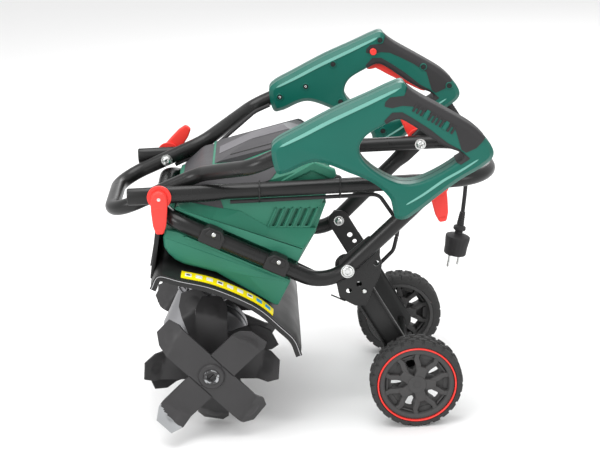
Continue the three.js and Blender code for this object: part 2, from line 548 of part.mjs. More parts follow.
// ---- D-handles ----
const handleOutline = smooth([
  [16, 414], [24, 427], [53, 443], [98, 467], [140, 486], [170, 500], [184, 504], [192, 496], [206, 486], [240, 467],
  [274, 447], [292, 431], [304, 415], [303, 402], [288, 389], [262, 373], [231, 349], [206, 329], [192, 320],
  [179, 322], [176, 333], [170, 350], [150, 369], [120, 383], [74, 399], [36, 385], [22, 386],
], 60).reverse();
const windowOutline = smooth([
  [130, 418], [138, 434], [160, 448], [179, 457], [196, 450], [222, 432], [244, 419], [261, 412], [265, 404],
  [256, 397], [236, 384], [211, 372], [190, 369], [172, 374], [150, 387], [134, 403],
], 32).reverse();
const gripCut = [[203, 520], [182, 440], [202, 436], [246, 404], [262, 396], [276, 420], [330, 428], [330, 520]];
function handleShell(side) {
  const [y0, y1] = side === 'outer' ? [-HANDLE_HALF - HANDLE_THICK / 2, -HANDLE_HALF - GAP / 2]
    : [-HANDLE_HALF + GAP / 2, -HANDLE_HALF + HANDLE_THICK / 2];
  const bothY = [-HANDLE_HALF - HANDLE_THICK / 2, -HANDLE_HALF + HANDLE_THICK / 2];
  const outer = slab(handleOutline, ...bothY, 7);
  const hollowY = [bothY[0] + WALL, bothY[1] - WALL];
  const hollow = slab(inset(handleOutline, WALL + 1), ...hollowY)
    .subtract(slab(inset(windowOutline, -WALL - 1), ...hollowY));
  const opening = slab(windowOutline, bothY[0] - 1, bothY[1] + 1);
  const grip = slab(gripCut, bothY[0] - 1, bothY[1] + 1);
  const barSpace = tubeAlong([new THREE.Vector3(-30, -HANDLE_HALF, barZ(-30)),
    new THREE.Vector3(BAR_IN_HANDLE_X + 2, -HANDLE_HALF, barZ(BAR_IN_HANDLE_X + 2))], BAR_TUBE_R + GAP);
  return cutAll(outer, [hollow, opening, grip, barSpace]).intersect(box(-100, 400, y0, y1, 200, 600));
}
const triggerOutline = [
  [162, 447], [178, 452.5], [200, 441.5], [246, 416.5], [254, 411.5], [256, 416], [247, 423.5], [201, 448.5],
  [179, 459.8], [161, 452.5],
];
const triggerPocket = slab([
  [158, 445], [178, 450], [200, 439], [256, 407], [263, 418], [249, 430], [202, 455], [179, 465], [157, 456],
], HANDLE_HALF - 9, HANDLE_HALF + 9);
const LOCK_BUTTON = [172, 476];
const buttonFace = HANDLE_HALF - HANDLE_THICK / 2;
const buttonHole = rodY(5 + GAP, LOCK_BUTTON, buttonFace - 2, buttonFace + 12, 12);
addPiece('handle_shell_outer_left', handleShell('outer'), 'green');
addPiece('handle_shell_outer_right', mirrored(handleShell('outer')).subtract(triggerPocket), 'green');
addPiece('handle_shell_inner_left', handleShell('inner'), 'green');
addPiece('handle_shell_inner_right', cutAll(mirrored(handleShell('inner')), [triggerPocket, buttonHole]), 'green');
const gripHalf = HANDLE_THICK / 2 - 1.5;
const gripSpace = slab(inset(gripCut, GAP), -HANDLE_HALF - 30, -HANDLE_HALF + 30);
const gripLeft = slab(handleOutline, -HANDLE_HALF - gripHalf, -HANDLE_HALF + gripHalf, 7)
  .subtract(slab(windowOutline, -HANDLE_HALF - 25, -HANDLE_HALF + 25)).intersect(gripSpace);
addPiece('grip_left', gripLeft, 'softBlack');
const switchPocket = slab([[199, 477], [199, 450], [254, 420], [258, 442]], HANDLE_HALF - 11, HANDLE_HALF + 11);
addPiece('grip_right', cutAll(mirrored(gripLeft), [switchPocket, triggerPocket]), 'softBlack');
const switchOutline = [[203, 471], [203, 458], [248, 434], [252, 440]];
addPiece('switch_body', slab(switchOutline, HANDLE_HALF - 10, HANDLE_HALF + 10), 'black');
addPiece('trigger', slab(triggerOutline, HANDLE_HALF - 8, HANDLE_HALF + 8), 'red');
addPiece('lock_button', rodY(5, LOCK_BUTTON, buttonFace - 5, buttonFace + 7, 12), 'red');

// ---- Mains lead, plug and motor cable ----
const reliefTop = [291, HANDLE_HALF, 389];
const CORD_POINTS = [
  [308, 169, 366], [311.5, 169, 358], [314.5, 169, 348], [317, 169, 335], [319, 169, 320], [320.4, 169, 304],
  [321.2, 169, 288], [321.5, 169, 272], [321.2, 169, 256], [320.4, 169, 242], [319.3, 169, 228], [318.3, 169, 216],
];
const cordCurve = new THREE.CatmullRomCurve3(CORD_POINTS.map((p) => new THREE.Vector3(...p)), false, 'centripetal');
addPiece('power_cord', tubeAlong(cordCurve.getPoints(22), CORD_D / 2, 8), 'softBlack');
const towards = (from, to) => new THREE.Matrix4().setPosition(from).multiply(new THREE.Matrix4().makeRotationFromQuaternion(
  new THREE.Quaternion().setFromUnitVectors(new THREE.Vector3(0, 1, 0), to.clone().sub(from).normalize())));
const turned = (profile, from, to, sides = 16) => matrixSolid(
  new THREE.LatheGeometry(profile.map(([r, h]) => new THREE.Vector2(r, h)), sides), towards(from, to));
const cordStart = new THREE.Vector3(...CORD_POINTS[0]);
const reliefFrom = new THREE.Vector3(...reliefTop);
const reliefLength = reliefFrom.distanceTo(cordStart) - 4 * GAP;
const shellSkin = slab(inset(handleOutline, -GAP), HANDLE_HALF - HANDLE_THICK / 2 - GAP, HANDLE_HALF + HANDLE_THICK / 2 + GAP, 7);
addPiece('strain_relief', turned([[0, 0], [6, 0], [4.6, reliefLength], [0, reliefLength]], reliefFrom, cordStart)
  .subtract(shellSkin), 'softBlack');
const cordEnd = new THREE.Vector3(...CORD_POINTS.at(-1));
const plugAim = cordEnd.clone().add(new THREE.Vector3(-12, 0, -80));
const plugBody = turned([
  [0, GAP], [4.6, GAP], [5, 10], [6, 22], [9.8, 24], [9.8, 29], [6.2, 31], [6.2, 36], [19.5, 40], [19.5, 55],
  [17.6, 57], [17.6, 70], [0, 70],
], cordEnd, plugAim);
const plugPins = [-9.5, 9.5].map((offset) => {
  const aim = plugAim.clone().sub(cordEnd).normalize();
  const sideways = new THREE.Vector3(0.87, 0.5, 0).multiplyScalar(offset);
  const from = cordEnd.clone().addScaledVector(aim, 65).add(sideways);
  return turned([[0, 0], [2.4, 0], [2.4, 22], [1.6, 24], [0, 24]], from, from.clone().add(aim), 10);
});
addPiece('plug', union(plugBody, ...plugPins), 'softBlack');
const cable = (corners, radii) => tubeAlong(bent(corners, radii), CABLE_D / 2, 8);
const beside = BAR_TUBE_R + CABLE_D / 2 + 2 * GAP;
const underBar = (x) => barZ(x) - beside / Math.cos(Math.atan(BAR_SLOPE));
const underMiddle = (x) => middleZ(x) - MIDDLE_TUBE_R - CABLE_D / 2 - GAP - 1.5;
addPiece('motor_cable_upper', cable([
  [16, HANDLE_HALF - 34, barZ(16) - 2], [-6, HANDLE_HALF - 34, barZ(-6) - 2], [-66, barHalf + 2, underBar(-66)],
  [-124, barHalf, underBar(-124)],
], [20, 20]), 'softBlack');
addPiece('motor_cable_middle', cable([
  [-40, -MIDDLE_HALF, underMiddle(-40)], [163, -MIDDLE_HALF, underMiddle(163)], [192, -95, 286], [190, -92, 266],
], [16, 20]), 'softBlack');
addPiece('motor_cable_lower', cable([
  [189.5, -91, 264], [186, -88, 244], [160, -78, 212], [118, -80, 200], [76, -82, 210], [57, -80, 224],
], [20, 30, 40, 10]), 'softBlack');

// The model stands with the middle of its base at the origin.
machine.rotation.y = THREE.MathUtils.degToRad(STAND_TILT);
machine.updateMatrixWorld(true);
const extent = new THREE.Box3();
for (const piece of machine.children) {
  if (!['power_cord', 'plug', 'strain_relief'].includes(piece.name)) extent.expandByObject(piece, true);
}
machine.position.set(-(extent.min.x + extent.max.x) / 2, -(extent.min.y + extent.max.y) / 2, -extent.min.z);
const root = new THREE.Group();
root.add(machine);
export default root;
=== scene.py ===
"""Folding electric tiller, folded for storage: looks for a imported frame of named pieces.

Shapes are worked out in millimetres on the machine's side view, with x to the rear, y to the right and z up.
stand() then leans the machine onto its wheels and lowest tines and puts it in metres where the frame is.
"""

import bpy
import numpy as np
from bpy.props import FloatProperty, FloatVectorProperty, PointerProperty
from mathutils import Matrix, Vector


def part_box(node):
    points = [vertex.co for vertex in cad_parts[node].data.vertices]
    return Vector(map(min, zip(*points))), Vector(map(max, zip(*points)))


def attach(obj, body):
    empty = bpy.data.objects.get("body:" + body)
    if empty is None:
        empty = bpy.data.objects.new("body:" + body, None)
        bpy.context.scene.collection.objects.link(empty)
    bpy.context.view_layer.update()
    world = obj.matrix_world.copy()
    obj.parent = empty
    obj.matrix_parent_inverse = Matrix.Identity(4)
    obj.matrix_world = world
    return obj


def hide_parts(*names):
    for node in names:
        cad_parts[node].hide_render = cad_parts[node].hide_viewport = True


bl_info = {
    "name": "Folding Tiller",
    "version": (1, 0, 0),
    "blender": (4, 5, 0),
    "location": "View3D > Sidebar > Tiller",
    "description": "Builds the looks of a folding electric tiller around its frame",
    "category": "Object",
}

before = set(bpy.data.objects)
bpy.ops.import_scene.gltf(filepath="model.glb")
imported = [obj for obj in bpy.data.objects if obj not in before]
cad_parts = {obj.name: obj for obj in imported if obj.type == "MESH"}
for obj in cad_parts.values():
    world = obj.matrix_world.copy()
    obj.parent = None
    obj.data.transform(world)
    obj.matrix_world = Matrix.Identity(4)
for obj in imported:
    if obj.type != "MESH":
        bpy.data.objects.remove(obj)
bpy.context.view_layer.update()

LEFT, RIGHT = -1, 1
SIDES = {"left": LEFT, "right": RIGHT}
LEAN = np.radians(2.7)
WHEEL = np.array([217.5, 65.0])
WHEEL_MIDDLE = (WHEEL[0], -130, WHEEL[1])
TINE = np.array([-68.6, 84.0])
REAR_PIVOT = np.array([240.0, 348.0])
FRONT_PIVOT = np.array([-136.0, 331.0])
WHEEL_PIVOT = np.array([120.0, 227.0])
MOTOR_AXIS = 65.3
INDEX_NOW = -53.7


# ---- Where things stand ----
def machine_to_frame():
    """The lean about the Y axis, then the shift that brings the left wheel's hub to the middle of its
    tyre's box."""
    low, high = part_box("wheel_tyre_left")
    turn = Matrix.Rotation(LEAN, 4, "Y")
    hub = turn @ (Vector((WHEEL[0], 0, WHEEL[1])) / 1000)
    middle = (low + high) / 2
    return Matrix.Translation((middle.x - hub.x, 0, middle.z - hub.z)) @ turn


STAND = machine_to_frame()


def stand(points):
    """Millimetre points of the side view as metre points of the frame."""
    points = np.asarray(points, float) / 1000
    turn = np.array(STAND.to_3x3())
    return points @ turn.T + np.array(STAND.translation)


# ---- Lines and outlines ----
def unit(v):
    return v / np.maximum(np.linalg.norm(v, axis=-1, keepdims=True), 1e-12)


def along(origin, degrees, distance, across=0.0):
    """From a side-view point, a distance along a direction and another across it, to its left."""
    a = np.radians(degrees)
    return np.array([
        origin[0] + distance * np.cos(a) - across * np.sin(a),
        origin[1] + distance * np.sin(a) + across * np.cos(a),
    ])


def fillet(corners, radii, steps=6, closed=False):
    """A line of corners with each corner replaced by an arc that touches both of its sides.

    The arc's centre lies on the corner's bisector at radius / sin(half angle), and its points turn evenly
    from one touching point to the other."""
    corners = np.asarray(corners, float)
    count = len(corners)
    inner = range(count) if closed else range(1, count - 1)
    radii = np.broadcast_to(radii, len(inner))
    found = [] if closed else [corners[:1]]
    for i, radius in zip(inner, radii):
        here = corners[i]
        back, on = unit(corners[i - 1] - here), unit(corners[(i + 1) % count] - here)
        half = np.arccos(np.clip(back @ on, -1, 1)) / 2
        centre = here + unit(back + on) * radius / np.sin(half)
        start = here + back * radius / np.tan(half) - centre
        end = here + on * radius / np.tan(half) - centre
        turn = np.pi - 2 * half
        t = np.linspace(0, 1, steps + 1)[:, None]
        found.append(centre + (np.sin((1 - t) * turn) * start + np.sin(t * turn) * end) / np.sin(turn))
    if not closed:
        found.append(corners[-1:])
    return np.vstack(found)


def flowing(points, steps=6, closed=False):
    """A smooth line through points: each stretch is the cubic whose end slopes join the points on either
    side."""
    points = np.asarray(points, float)
    if closed:
        padded = np.vstack([points[-1:], points, points[:2]])
    else:
        padded = np.vstack([2 * points[:1] - points[1:2], points, 2 * points[-1:] - points[-2:-1]])
    t = np.linspace(0, 1, steps, endpoint=False)[None, :, None]
    p0, p1, p2, p3 = (padded[k : len(padded) - 3 + k, None, :] for k in range(4))
    curve = 0.5 * (
        2 * p1 + (p2 - p0) * t + (2 * p0 - 5 * p1 + 4 * p2 - p3) * t**2 + (3 * p1 - p0 - 3 * p2 + p3) * t**3
    )
    curve = curve.reshape(-1, points.shape[1])
    return curve if closed else np.vstack([curve, points[-1:]])


def anticlockwise(outline):
    x, z = outline.T
    area = np.sum(x * np.roll(z, -1) - np.roll(x, -1) * z)
    return outline if area > 0 else outline[::-1]


def inset(outline, distance):
    """Every corner of an anticlockwise outline moved inwards along its bisector by a distance.

    A circle that touches the outline at p with its centre along the normal n meets another corner q when
    its radius is |q - p|^2 / (2 n.(q - p)). Corners whose smallest such radius is under the distance are
    spread between their neighbours."""
    u, v = unit(outline - np.roll(outline, 1, 0)), unit(np.roll(outline, -1, 0) - outline)
    normal = np.column_stack([-(u + v)[:, 1], (u + v)[:, 0]])
    length = np.maximum(np.sum(normal**2, axis=1, keepdims=True), 0.6)
    moved = outline + normal * 2 * distance / length
    reach = outline[None] - outline[:, None]
    facing = np.sum(unit(normal)[:, None] * reach, axis=2) * np.sign(distance)
    touching = np.sum(reach**2, axis=2) / (2 * np.maximum(facing, 1e-6))
    radius = np.where(facing > 1e-6, touching, np.inf).min(axis=1)
    free = radius >= abs(distance)
    if free.sum() < 3:
        return outline.copy()
    k = np.arange(len(outline))
    return np.column_stack([np.interp(k, k[free], moved[free, i], period=len(k)) for i in (0, 1)])


def normals(line):
    """Unit vectors square to a side-view line, on its left."""
    tangent = unit(np.gradient(line, axis=0))
    return np.column_stack([-tangent[:, 1], tangent[:, 0]])


def level(outline, y):
    return np.column_stack([outline[:, 0], np.full(len(outline), float(y)), outline[:, 1]])


# ---- Surfaces: each is (points, faces), closed, with its faces outwards ----
def outwards(points, quads, caps):
    """Turns every face round where the volume that the faces enclose comes out negative."""
    fans = [np.column_stack([np.full(len(c) - 2, c[0]), c[1:-1], c[2:]]) for c in map(np.asarray, caps)]
    triangles = np.vstack([quads[:, [0, 1, 2]], quads[:, [0, 2, 3]], *fans])
    a, b, c = (points[triangles[:, k]] for k in range(3))
    faces = [*quads.tolist(), *[list(c) for c in caps]]
    if np.sum(a * np.cross(b, c)) < 0:
        faces = [face[::-1] for face in faces]
    return points, faces


def skin(rings, loop=False):
    """Quads between rings of points that follow each other, with a face over each end unless the rings
    loop."""
    rings = np.asarray(rings, float)
    m, n, _ = rings.shape
    i = np.arange(m if loop else m - 1)[:, None]
    j = np.arange(n)[None, :]
    here, after = i * n, ((i + 1) % m) * n
    quads = np.stack([here + j, here + (j + 1) % n, after + (j + 1) % n, after + j], -1).reshape(-1, 4)
    caps = [] if loop else [list(range(n))[::-1], list(range((m - 1) * n, m * n))]
    return outwards(rings.reshape(-1, 3), quads, caps)


def plate(outline, y0, y1, edge=1.2, steps=3):
    """A side-view outline swept across from y0 to y1 with both rims rounded.

    Ring by ring, the outline stands in by edge * (1 - sin a) at a depth of edge * (1 - cos a). With no
    steps the rims are straight chamfers with softened corners instead."""
    outline = anticlockwise(np.asarray(outline, float))
    a = np.linspace(0, np.pi / 2, steps + 1)
    low, high = min(y0, y1), max(y0, y1)
    stands_in, depth = edge * (1 - np.sin(a)), edge * (1 - np.cos(a))
    if steps == 0:
        stands_in = edge * np.array([1.12, 0.97, 0.90, 0.06, 0.01, 0])
        depth = edge * np.array([0, 0.02, 0.09, 0.92, 1, 1.12])
    front = [level(inset(outline, s), low + d) for s, d in zip(stands_in, depth)]
    back = [level(inset(outline, s), high - d) for s, d in zip(stands_in, depth)]
    return skin([*front, *back[::-1]])


def tube(path, radius, sides=24, tall=None, across=None, loop=False):
    """A round section carried along a path.

    At each point the section stands square to the path, and its half height and half width follow tall
    and across."""
    path = np.asarray(path, float)
    if loop:
        tangent = unit(np.roll(path, -1, 0) - np.roll(path, 1, 0))
    else:
        steps = unit(np.diff(path, axis=0))
        tangent = unit(np.vstack([steps[:1], steps[:-1] + steps[1:], steps[-1:]]))
    side = unit(np.cross(np.array([0.3, 0.02, 1.0]), tangent))
    up = np.cross(tangent, side)
    tall = np.broadcast_to(radius if tall is None else tall, len(path))
    across = np.broadcast_to(radius if across is None else across, len(path))
    a = np.linspace(0, 2 * np.pi, sides, endpoint=False)
    rings = (
        path[:, None]
        + side[:, None] * (across[:, None] * np.cos(a))[..., None]
        + up[:, None] * (tall[:, None] * np.sin(a))[..., None]
    )
    return skin(rings, loop)


def turned(profile, base, direction=(0, 1, 0), sides=32, radius_at=None):
    """A profile of (radius, height) points turned about a line through base.

    radius_at, where given, returns the radii of the whole grid from its angles, radii and heights."""
    profile = np.asarray(profile, float)
    w = unit(np.asarray(direction, float))
    u = unit(np.cross(w, (0.0, 0.0, 1.0) if abs(w[2]) < 0.9 else (1.0, 0.0, 0.0)))
    v = np.cross(w, u)
    a = np.linspace(0, 2 * np.pi, sides, endpoint=False)
    radii = np.repeat(profile[:, :1], sides, axis=1)
    if radius_at is not None:
        radii = radius_at(a[None, :], radii, profile[:, 1:])
    rings = (
        np.asarray(base, float)
        + w * profile[:, 1][:, None, None]
        + u * (radii * np.cos(a))[..., None]
        + v * (radii * np.sin(a))[..., None]
    )
    closed = np.allclose(profile[0], profile[-1])
    return skin(rings[:-1] if closed else rings, closed)


def hexagonal(a, radii):
    """Radii of a regular hexagon whose flats are at the given radii."""
    return radii / np.cos((a + np.pi / 6) % (np.pi / 3) - np.pi / 6)


def mirrored(surface):
    """The same surface on the other side of the machine, with its faces turned round to point outwards
    again."""
    points, faces = surface
    return points * np.array([1, -1, 1]), [face[::-1] for face in faces]


def on_side(side, surface):
    return surface if side == LEFT else mirrored(surface)


def as_object(name, surface):
    mesh = bpy.data.meshes.new(name)
    mesh.from_pydata(surface[0].tolist(), [], surface[1])
    mesh.update()
    made = bpy.data.objects.new(name, mesh)
    bpy.context.scene.collection.objects.link(made)
    return made


def carved(surface, tools, operation="DIFFERENCE"):
    """A surface with others cut out of it, worked out exactly by Blender's Boolean modifier."""
    blank = as_object("blank", surface)
    cutters = [as_object("cutter", tool) for tool in tools]
    for cutter in cutters:
        change = blank.modifiers.new("cut", "BOOLEAN")
        change.object, change.operation, change.solver = cutter, operation, "EXACT"
    result = blank.evaluated_get(bpy.context.evaluated_depsgraph_get()).to_mesh()
    points = np.empty(len(result.vertices) * 3)
    result.vertices.foreach_get("co", points)
    faces = [list(face.vertices) for face in result.polygons]
    for used in [blank, *cutters]:
        bpy.data.objects.remove(used)
    return points.reshape(-1, 3), faces


def piece(name, body, parts, replaces=(), sharp=38.0, wear_and_glint=None):
    """One object from (surface, material) parts, standing in the frame and riding on a body.

    wear is a function of the side-view points that gives how bare each one is, from 0 to 1."""
    names = list(dict.fromkeys(material for _, material in parts))
    starts = np.cumsum([0] + [len(surface[0]) for surface, _ in parts])
    points = np.vstack([surface[0] for surface, _ in parts])
    faces = [[k + start for k in face] for (surface, _), start in zip(parts, starts) for face in surface[1]]
    made = as_object(name, (stand(points), faces))
    mesh = made.data
    for material in names:
        mesh.materials.append(bpy.data.materials[material])
    index = np.repeat([names.index(material) for _, material in parts], [len(s[1]) for s, _ in parts])
    mesh.polygons.foreach_set("material_index", index.astype(np.int32))
    bare = np.zeros(len(points)) if wear_and_glint is None else wear_and_glint(points)
    mesh.attributes.new("wear_and_glint", "FLOAT", "POINT").data.foreach_set("value", bare.astype(np.float32))
    mesh.shade_smooth()
    mesh.set_sharp_from_angle(angle=np.radians(sharp))
    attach(made, body)
    if replaces:
        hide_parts(*replaces)
    return made


# ---- Finishes ----
def finish(name, colour, roughness, metallic=0.0, grain=1400.0, depth=0.03, mottle=0.05, scale=25.0,
           bare=None):
    """A surface finish that varies from place to place.

    A broad noise shifts the colour and the roughness, a fine one raises a grain, and where the wear attribute
    and a third noise agree the surface changes to the bare metal's colour."""
    material = bpy.data.materials.new(name)
    material.use_nodes = True
    nodes, links = material.node_tree.nodes, material.node_tree.links
    shader = nodes["Principled BSDF"]
    place = nodes.new("ShaderNodeTexCoord")

    def noise(size, detail):
        node = nodes.new("ShaderNodeTexNoise")
        node.inputs["Scale"].default_value = size
        node.inputs["Detail"].default_value = detail
        links.new(place.outputs["Object"], node.inputs["Vector"])
        return node

    def ranged(source, low, high, start=0.3, stop=0.7):
        node = nodes.new("ShaderNodeMapRange")
        for key, value in (("From Min", start), ("From Max", stop), ("To Min", low), ("To Max", high)):
            node.inputs[key].default_value = value
        links.new(source, node.inputs["Value"])
        return node.outputs["Result"]

    def mixed(factor, first, second):
        node = nodes.new("ShaderNodeMix")
        node.data_type = "RGBA"
        links.new(factor, node.inputs["Factor"])
        for key, value in (("A", first), ("B", second)):
            socket = node.inputs[6 if key == "A" else 7]
            if isinstance(value, bpy.types.NodeSocket):
                links.new(value, socket)
            else:
                socket.default_value = (*value, 1.0)
        return node.outputs[2]

    colour = np.array(colour[:3])
    broad, fine = noise(scale, 4.0), noise(grain, 2.0)
    tint = mixed(broad.outputs["Fac"], np.clip(colour * (1 - mottle), 0, 1),
                 np.clip(colour * (1 + mottle), 0, 1))
    rough = ranged(broad.outputs["Fac"], max(roughness - 0.06, 0.02), min(roughness + 0.06, 1.0))
    if bare is not None:
        wear_and_glint_node = nodes.new("ShaderNodeAttribute")
        wear_and_glint_node.attribute_name = "wear_and_glint"
        ragged = nodes.new("ShaderNodeMath")
        ragged.operation = "ADD"
        links.new(wear_and_glint_node.outputs["Fac"], ragged.inputs[0])
        links.new(ranged(noise(180.0, 6.0).outputs["Fac"], -0.35, 0.35), ragged.inputs[1])
        shows = ranged(ragged.outputs["Value"], 0.0, 1.0, 0.45, 0.6)
        tint = mixed(shows, tint, bare)
        links.new(shows, shader.inputs["Metallic"])
        smoother = nodes.new("ShaderNodeMath")
        smoother.operation = "MULTIPLY_ADD"
        smoother.inputs[1].default_value = -0.14
        links.new(shows, smoother.inputs[0])
        links.new(rough, smoother.inputs[2])
        rough = smoother.outputs["Value"]
    else:
        shader.inputs["Metallic"].default_value = metallic
    shader.inputs["Specular IOR Level"].default_value = 0.32
    bump = nodes.new("ShaderNodeBump")
    bump.inputs["Strength"].default_value = depth * 10
    bump.inputs["Distance"].default_value = 0.0001
    links.new(fine.outputs["Fac"], bump.inputs["Height"])
    links.new(tint, shader.inputs["Base Color"])
    links.new(rough, shader.inputs["Roughness"])
    links.new(bump.outputs["Normal"], shader.inputs["Normal"])
    return material


def paint_frame_nodes(names, material):
    for name in names:
        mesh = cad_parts[name].data
        mesh.materials.clear()
        mesh.materials.append(bpy.data.materials[material])


# ---- Settings ----
def colour_setting(name, description, default):
    return FloatVectorProperty(
        name=name, description=description, subtype="COLOR", size=3, min=0.0, max=1.0, default=default
    )


def length_setting(name, description, default):
    return FloatProperty(name=name, description=description, unit="LENGTH", min=0.0001, max=1.0,
                         default=default)


class TillerColours(bpy.types.PropertyGroup):
    """Colours of the mouldings, paints and metals."""

    green: colour_setting("Green", "Handle and housing mouldings", (0.002, 0.098, 0.072))
    # The pale green of the handle ribs is a painted highlight along their lit facets.
    rib_highlight_green: colour_setting("Pale green", "Raised ribs on the handles", (0.13, 0.33, 0.28))
    housing_green: colour_setting("Housing green", "Motor housing and lower cover", (0.026, 0.170, 0.108))
    black: colour_setting("Black", "Fender, clamps and legs", (0.014, 0.014, 0.014))
    soft: colour_setting("Soft black", "Grips and cable skins", (0.022, 0.021, 0.022))
    tube: colour_setting("Tube black", "Powder coat on the frame tubes", (0.010, 0.010, 0.010))
    grey: colour_setting("Grey", "Motor cap", (0.052, 0.050, 0.054))
    tine: colour_setting("Tine grey", "Paint on the tines", (0.034, 0.033, 0.034))
    wheel: colour_setting("Wheel grey", "Tyres and rims", (0.050, 0.049, 0.049))
    red: colour_setting("Red", "Levers, trigger, button and wheel trims", (0.80, 0.045, 0.035))
    label: colour_setting("Label yellow", "Strip on the fender", (0.93, 0.76, 0.0))
    zinc: colour_setting("Zinc", "Bolts, screws and plug pins", (0.62, 0.63, 0.62))


class TillerSizes(bpy.types.PropertyGroup):
    """Sizes of the parts that a user may want to change."""

    lower_tube: length_setting("Lower tube", "Radius of the lower frame tube", 0.011)
    upper_tube: length_setting("Upper tube", "Radius of the middle frame and handle bar tubes", 0.0105)
    lead: length_setting("Lead", "Diameter of the mains lead", 0.0065)
    motor_cable: length_setting("Motor cable", "Diameter of the motor cable", 0.0055)
    tread: length_setting("Tread", "Depth of the grooves between the tread blocks", 0.0022)
    blade: length_setting("Blade", "Thickness of the tine blades", 0.004)
    button: length_setting("Lock button", "Radius of the lock button", 0.005)


class MakesTiller:
    """Shared by the operators: the settings, with lengths in millimetres."""

    bl_options = {"REGISTER", "UNDO"}

    def colours(self, context):
        return context.scene.tiller_colours

    def mm(self, context, name):
        return getattr(context.scene.tiller_sizes, name) * 1000


class TILLER_OT_finishes(MakesTiller, bpy.types.Operator):
    """Make every paint, plastic and metal finish"""

    bl_idname = "tiller.finishes"
    bl_label = "Finishes"

    def execute(self, context):
        c = self.colours(context)
        finish("green_gloss", c.green, 0.36, grain=900.0, depth=0.012, mottle=0.07)
        finish("pale_rib", c.rib_highlight_green, 0.32, grain=900.0, depth=0.01)
        finish("housing_satin", c.housing_green, 0.46, grain=1600.0, depth=0.03, mottle=0.08)
        finish("black_satin", c.black, 0.42, grain=1500.0, depth=0.03, mottle=0.12)
        finish("black_gloss", c.black, 0.22, grain=700.0, depth=0.01)
        finish("soft_grip", c.soft, 0.62, grain=2600.0, depth=0.09, mottle=0.15)
        finish("tube_coat", c.tube, 0.30, grain=1100.0, depth=0.03, mottle=0.10)
        finish("cap_grey", c.grey, 0.50, grain=1800.0, depth=0.05)
        # A lighter copy of the cap grey, for the painted highlight on the cap's top facet.
        finish("cap_light", np.array(c.grey) * 2.4, 0.42, grain=1800.0, depth=0.03)
        finish("tine_paint", c.tine, 0.46, grain=600.0, depth=0.06, mottle=0.22, bare=(0.40, 0.41, 0.42))
        finish("wheel_grey", c.wheel, 0.60, grain=1700.0, depth=0.07, mottle=0.12)
        finish("tyre_grey", np.array(c.wheel) * 0.62, 0.72, grain=1500.0, depth=0.09, mottle=0.15)
        finish("red_gloss", c.red, 0.34, grain=800.0, depth=0.01)
        finish("label_yellow", c.label, 0.40, depth=0.01, mottle=0.03)
        finish("label_white", (0.75, 0.76, 0.78), 0.40, depth=0.01)
        finish("label_blue", (0.03, 0.30, 0.62), 0.40, depth=0.01)
        finish("label_dark", (0.03, 0.03, 0.03), 0.40, depth=0.01)
        finish("zinc_plate", c.zinc, 0.26, metallic=1.0, grain=2200.0, depth=0.02, mottle=0.10, scale=140.0)
        finish("cast_metal", (0.26, 0.26, 0.27), 0.40, metallic=0.9, grain=1100.0, depth=0.12, mottle=0.16)
        # A pale grey for the painted highlight along the fender's rims.
        finish("bright_edge", (0.42, 0.42, 0.43), 0.3, depth=0.01)
        finish("bronze", (0.45, 0.27, 0.08), 0.35, metallic=1.0)
        finish("windings", (0.33, 0.10, 0.04), 0.4, metallic=0.6, grain=500.0, depth=0.1)
        return {"FINISHED"}


class TILLER_OT_stage(MakesTiller, bpy.types.Operator):
    """Set the camera, the pale floor and the soft studio light"""

    bl_idname = "tiller.stage"
    bl_label = "Stage"

    def lamp(self, name, place, size, power, towards=(0.0, 0.0, 0.2)):
        light = bpy.data.lights.new(name, "AREA")
        light.shape, light.size, light.energy = "DISK", size, power
        made = bpy.data.objects.new(name, light)
        bpy.context.scene.collection.objects.link(made)
        made.location = place
        made.rotation_mode = "QUATERNION"
        made.rotation_quaternion = (Vector(towards) - Vector(place)).to_track_quat("-Z", "Y")

    def execute(self, context):
        scene = context.scene
        optics = bpy.data.cameras.new("camera")
        optics.lens, optics.sensor_width, optics.sensor_fit = 88.4, 36.0, "HORIZONTAL"
        optics.clip_end = 50
        camera = bpy.data.objects.new("camera", optics)
        scene.collection.objects.link(camera)
        turn = Matrix.Rotation(np.radians(-1.649), 4, "Z") @ Matrix.Rotation(np.radians(90 - 18.368), 4, "X")
        camera.matrix_world = STAND @ Matrix.Translation((0, -2.0224, 0.9246)) @ turn
        scene.camera = camera
        # The floor is a flat disc of rings.
        radii = np.concatenate([[0.001], np.linspace(0.5, 12, 24)])
        sides = 64
        a = np.linspace(0, 2 * np.pi, sides, endpoint=False)
        grid = np.stack([radii[:, None] * np.cos(a), radii[:, None] * np.sin(a), 0 * radii[:, None] * a], -1)
        j = np.arange(sides)[None, :]
        inner = np.arange(len(radii) - 1)[:, None] * sides
        outer, on = inner + sides, (j + 1) % sides
        quads = np.stack([inner + j, outer + j, outer + on, inner + on], -1)
        floor = as_object("floor", (grid.reshape(-1, 3), quads.reshape(-1, 4).tolist()))
        pale = finish("floor_pale", (0.84, 0.84, 0.84), 0.7, depth=0.0, mottle=0.005, scale=1.0)
        floor.data.materials.append(pale)
        world = bpy.data.worlds.new("studio")
        world.use_nodes = True
        world.node_tree.nodes["Background"].inputs["Color"].default_value = (1.0, 1.0, 1.0, 1.0)
        world.node_tree.nodes["Background"].inputs["Strength"].default_value = 0.95
        scene.world = world
        self.lamp("overhead", (-0.3, -0.3, 2.2), 1.8, 34)
        self.lamp("front_left", (-1.9, -1.7, 1.3), 1.2, 26)
        self.lamp("front_right", (1.8, -1.9, 0.9), 1.1, 12)
        self.lamp("behind", (0.6, 2.2, 1.6), 1.4, 16)
        scene.view_settings.view_transform = "Standard"
        scene.view_settings.look = "None"
        return {"FINISHED"}


LEAD_ROUTE = np.array([
    [308, 169, 366], [311.5, 169, 358], [314.5, 169, 348], [317, 169, 335], [319, 169, 320],
    [320.4, 169, 304], [321.2, 169, 288], [321.5, 169, 272], [321.2, 169, 256], [320.4, 169, 242],
    [319.3, 169, 228], [318.3, 169, 216],
])


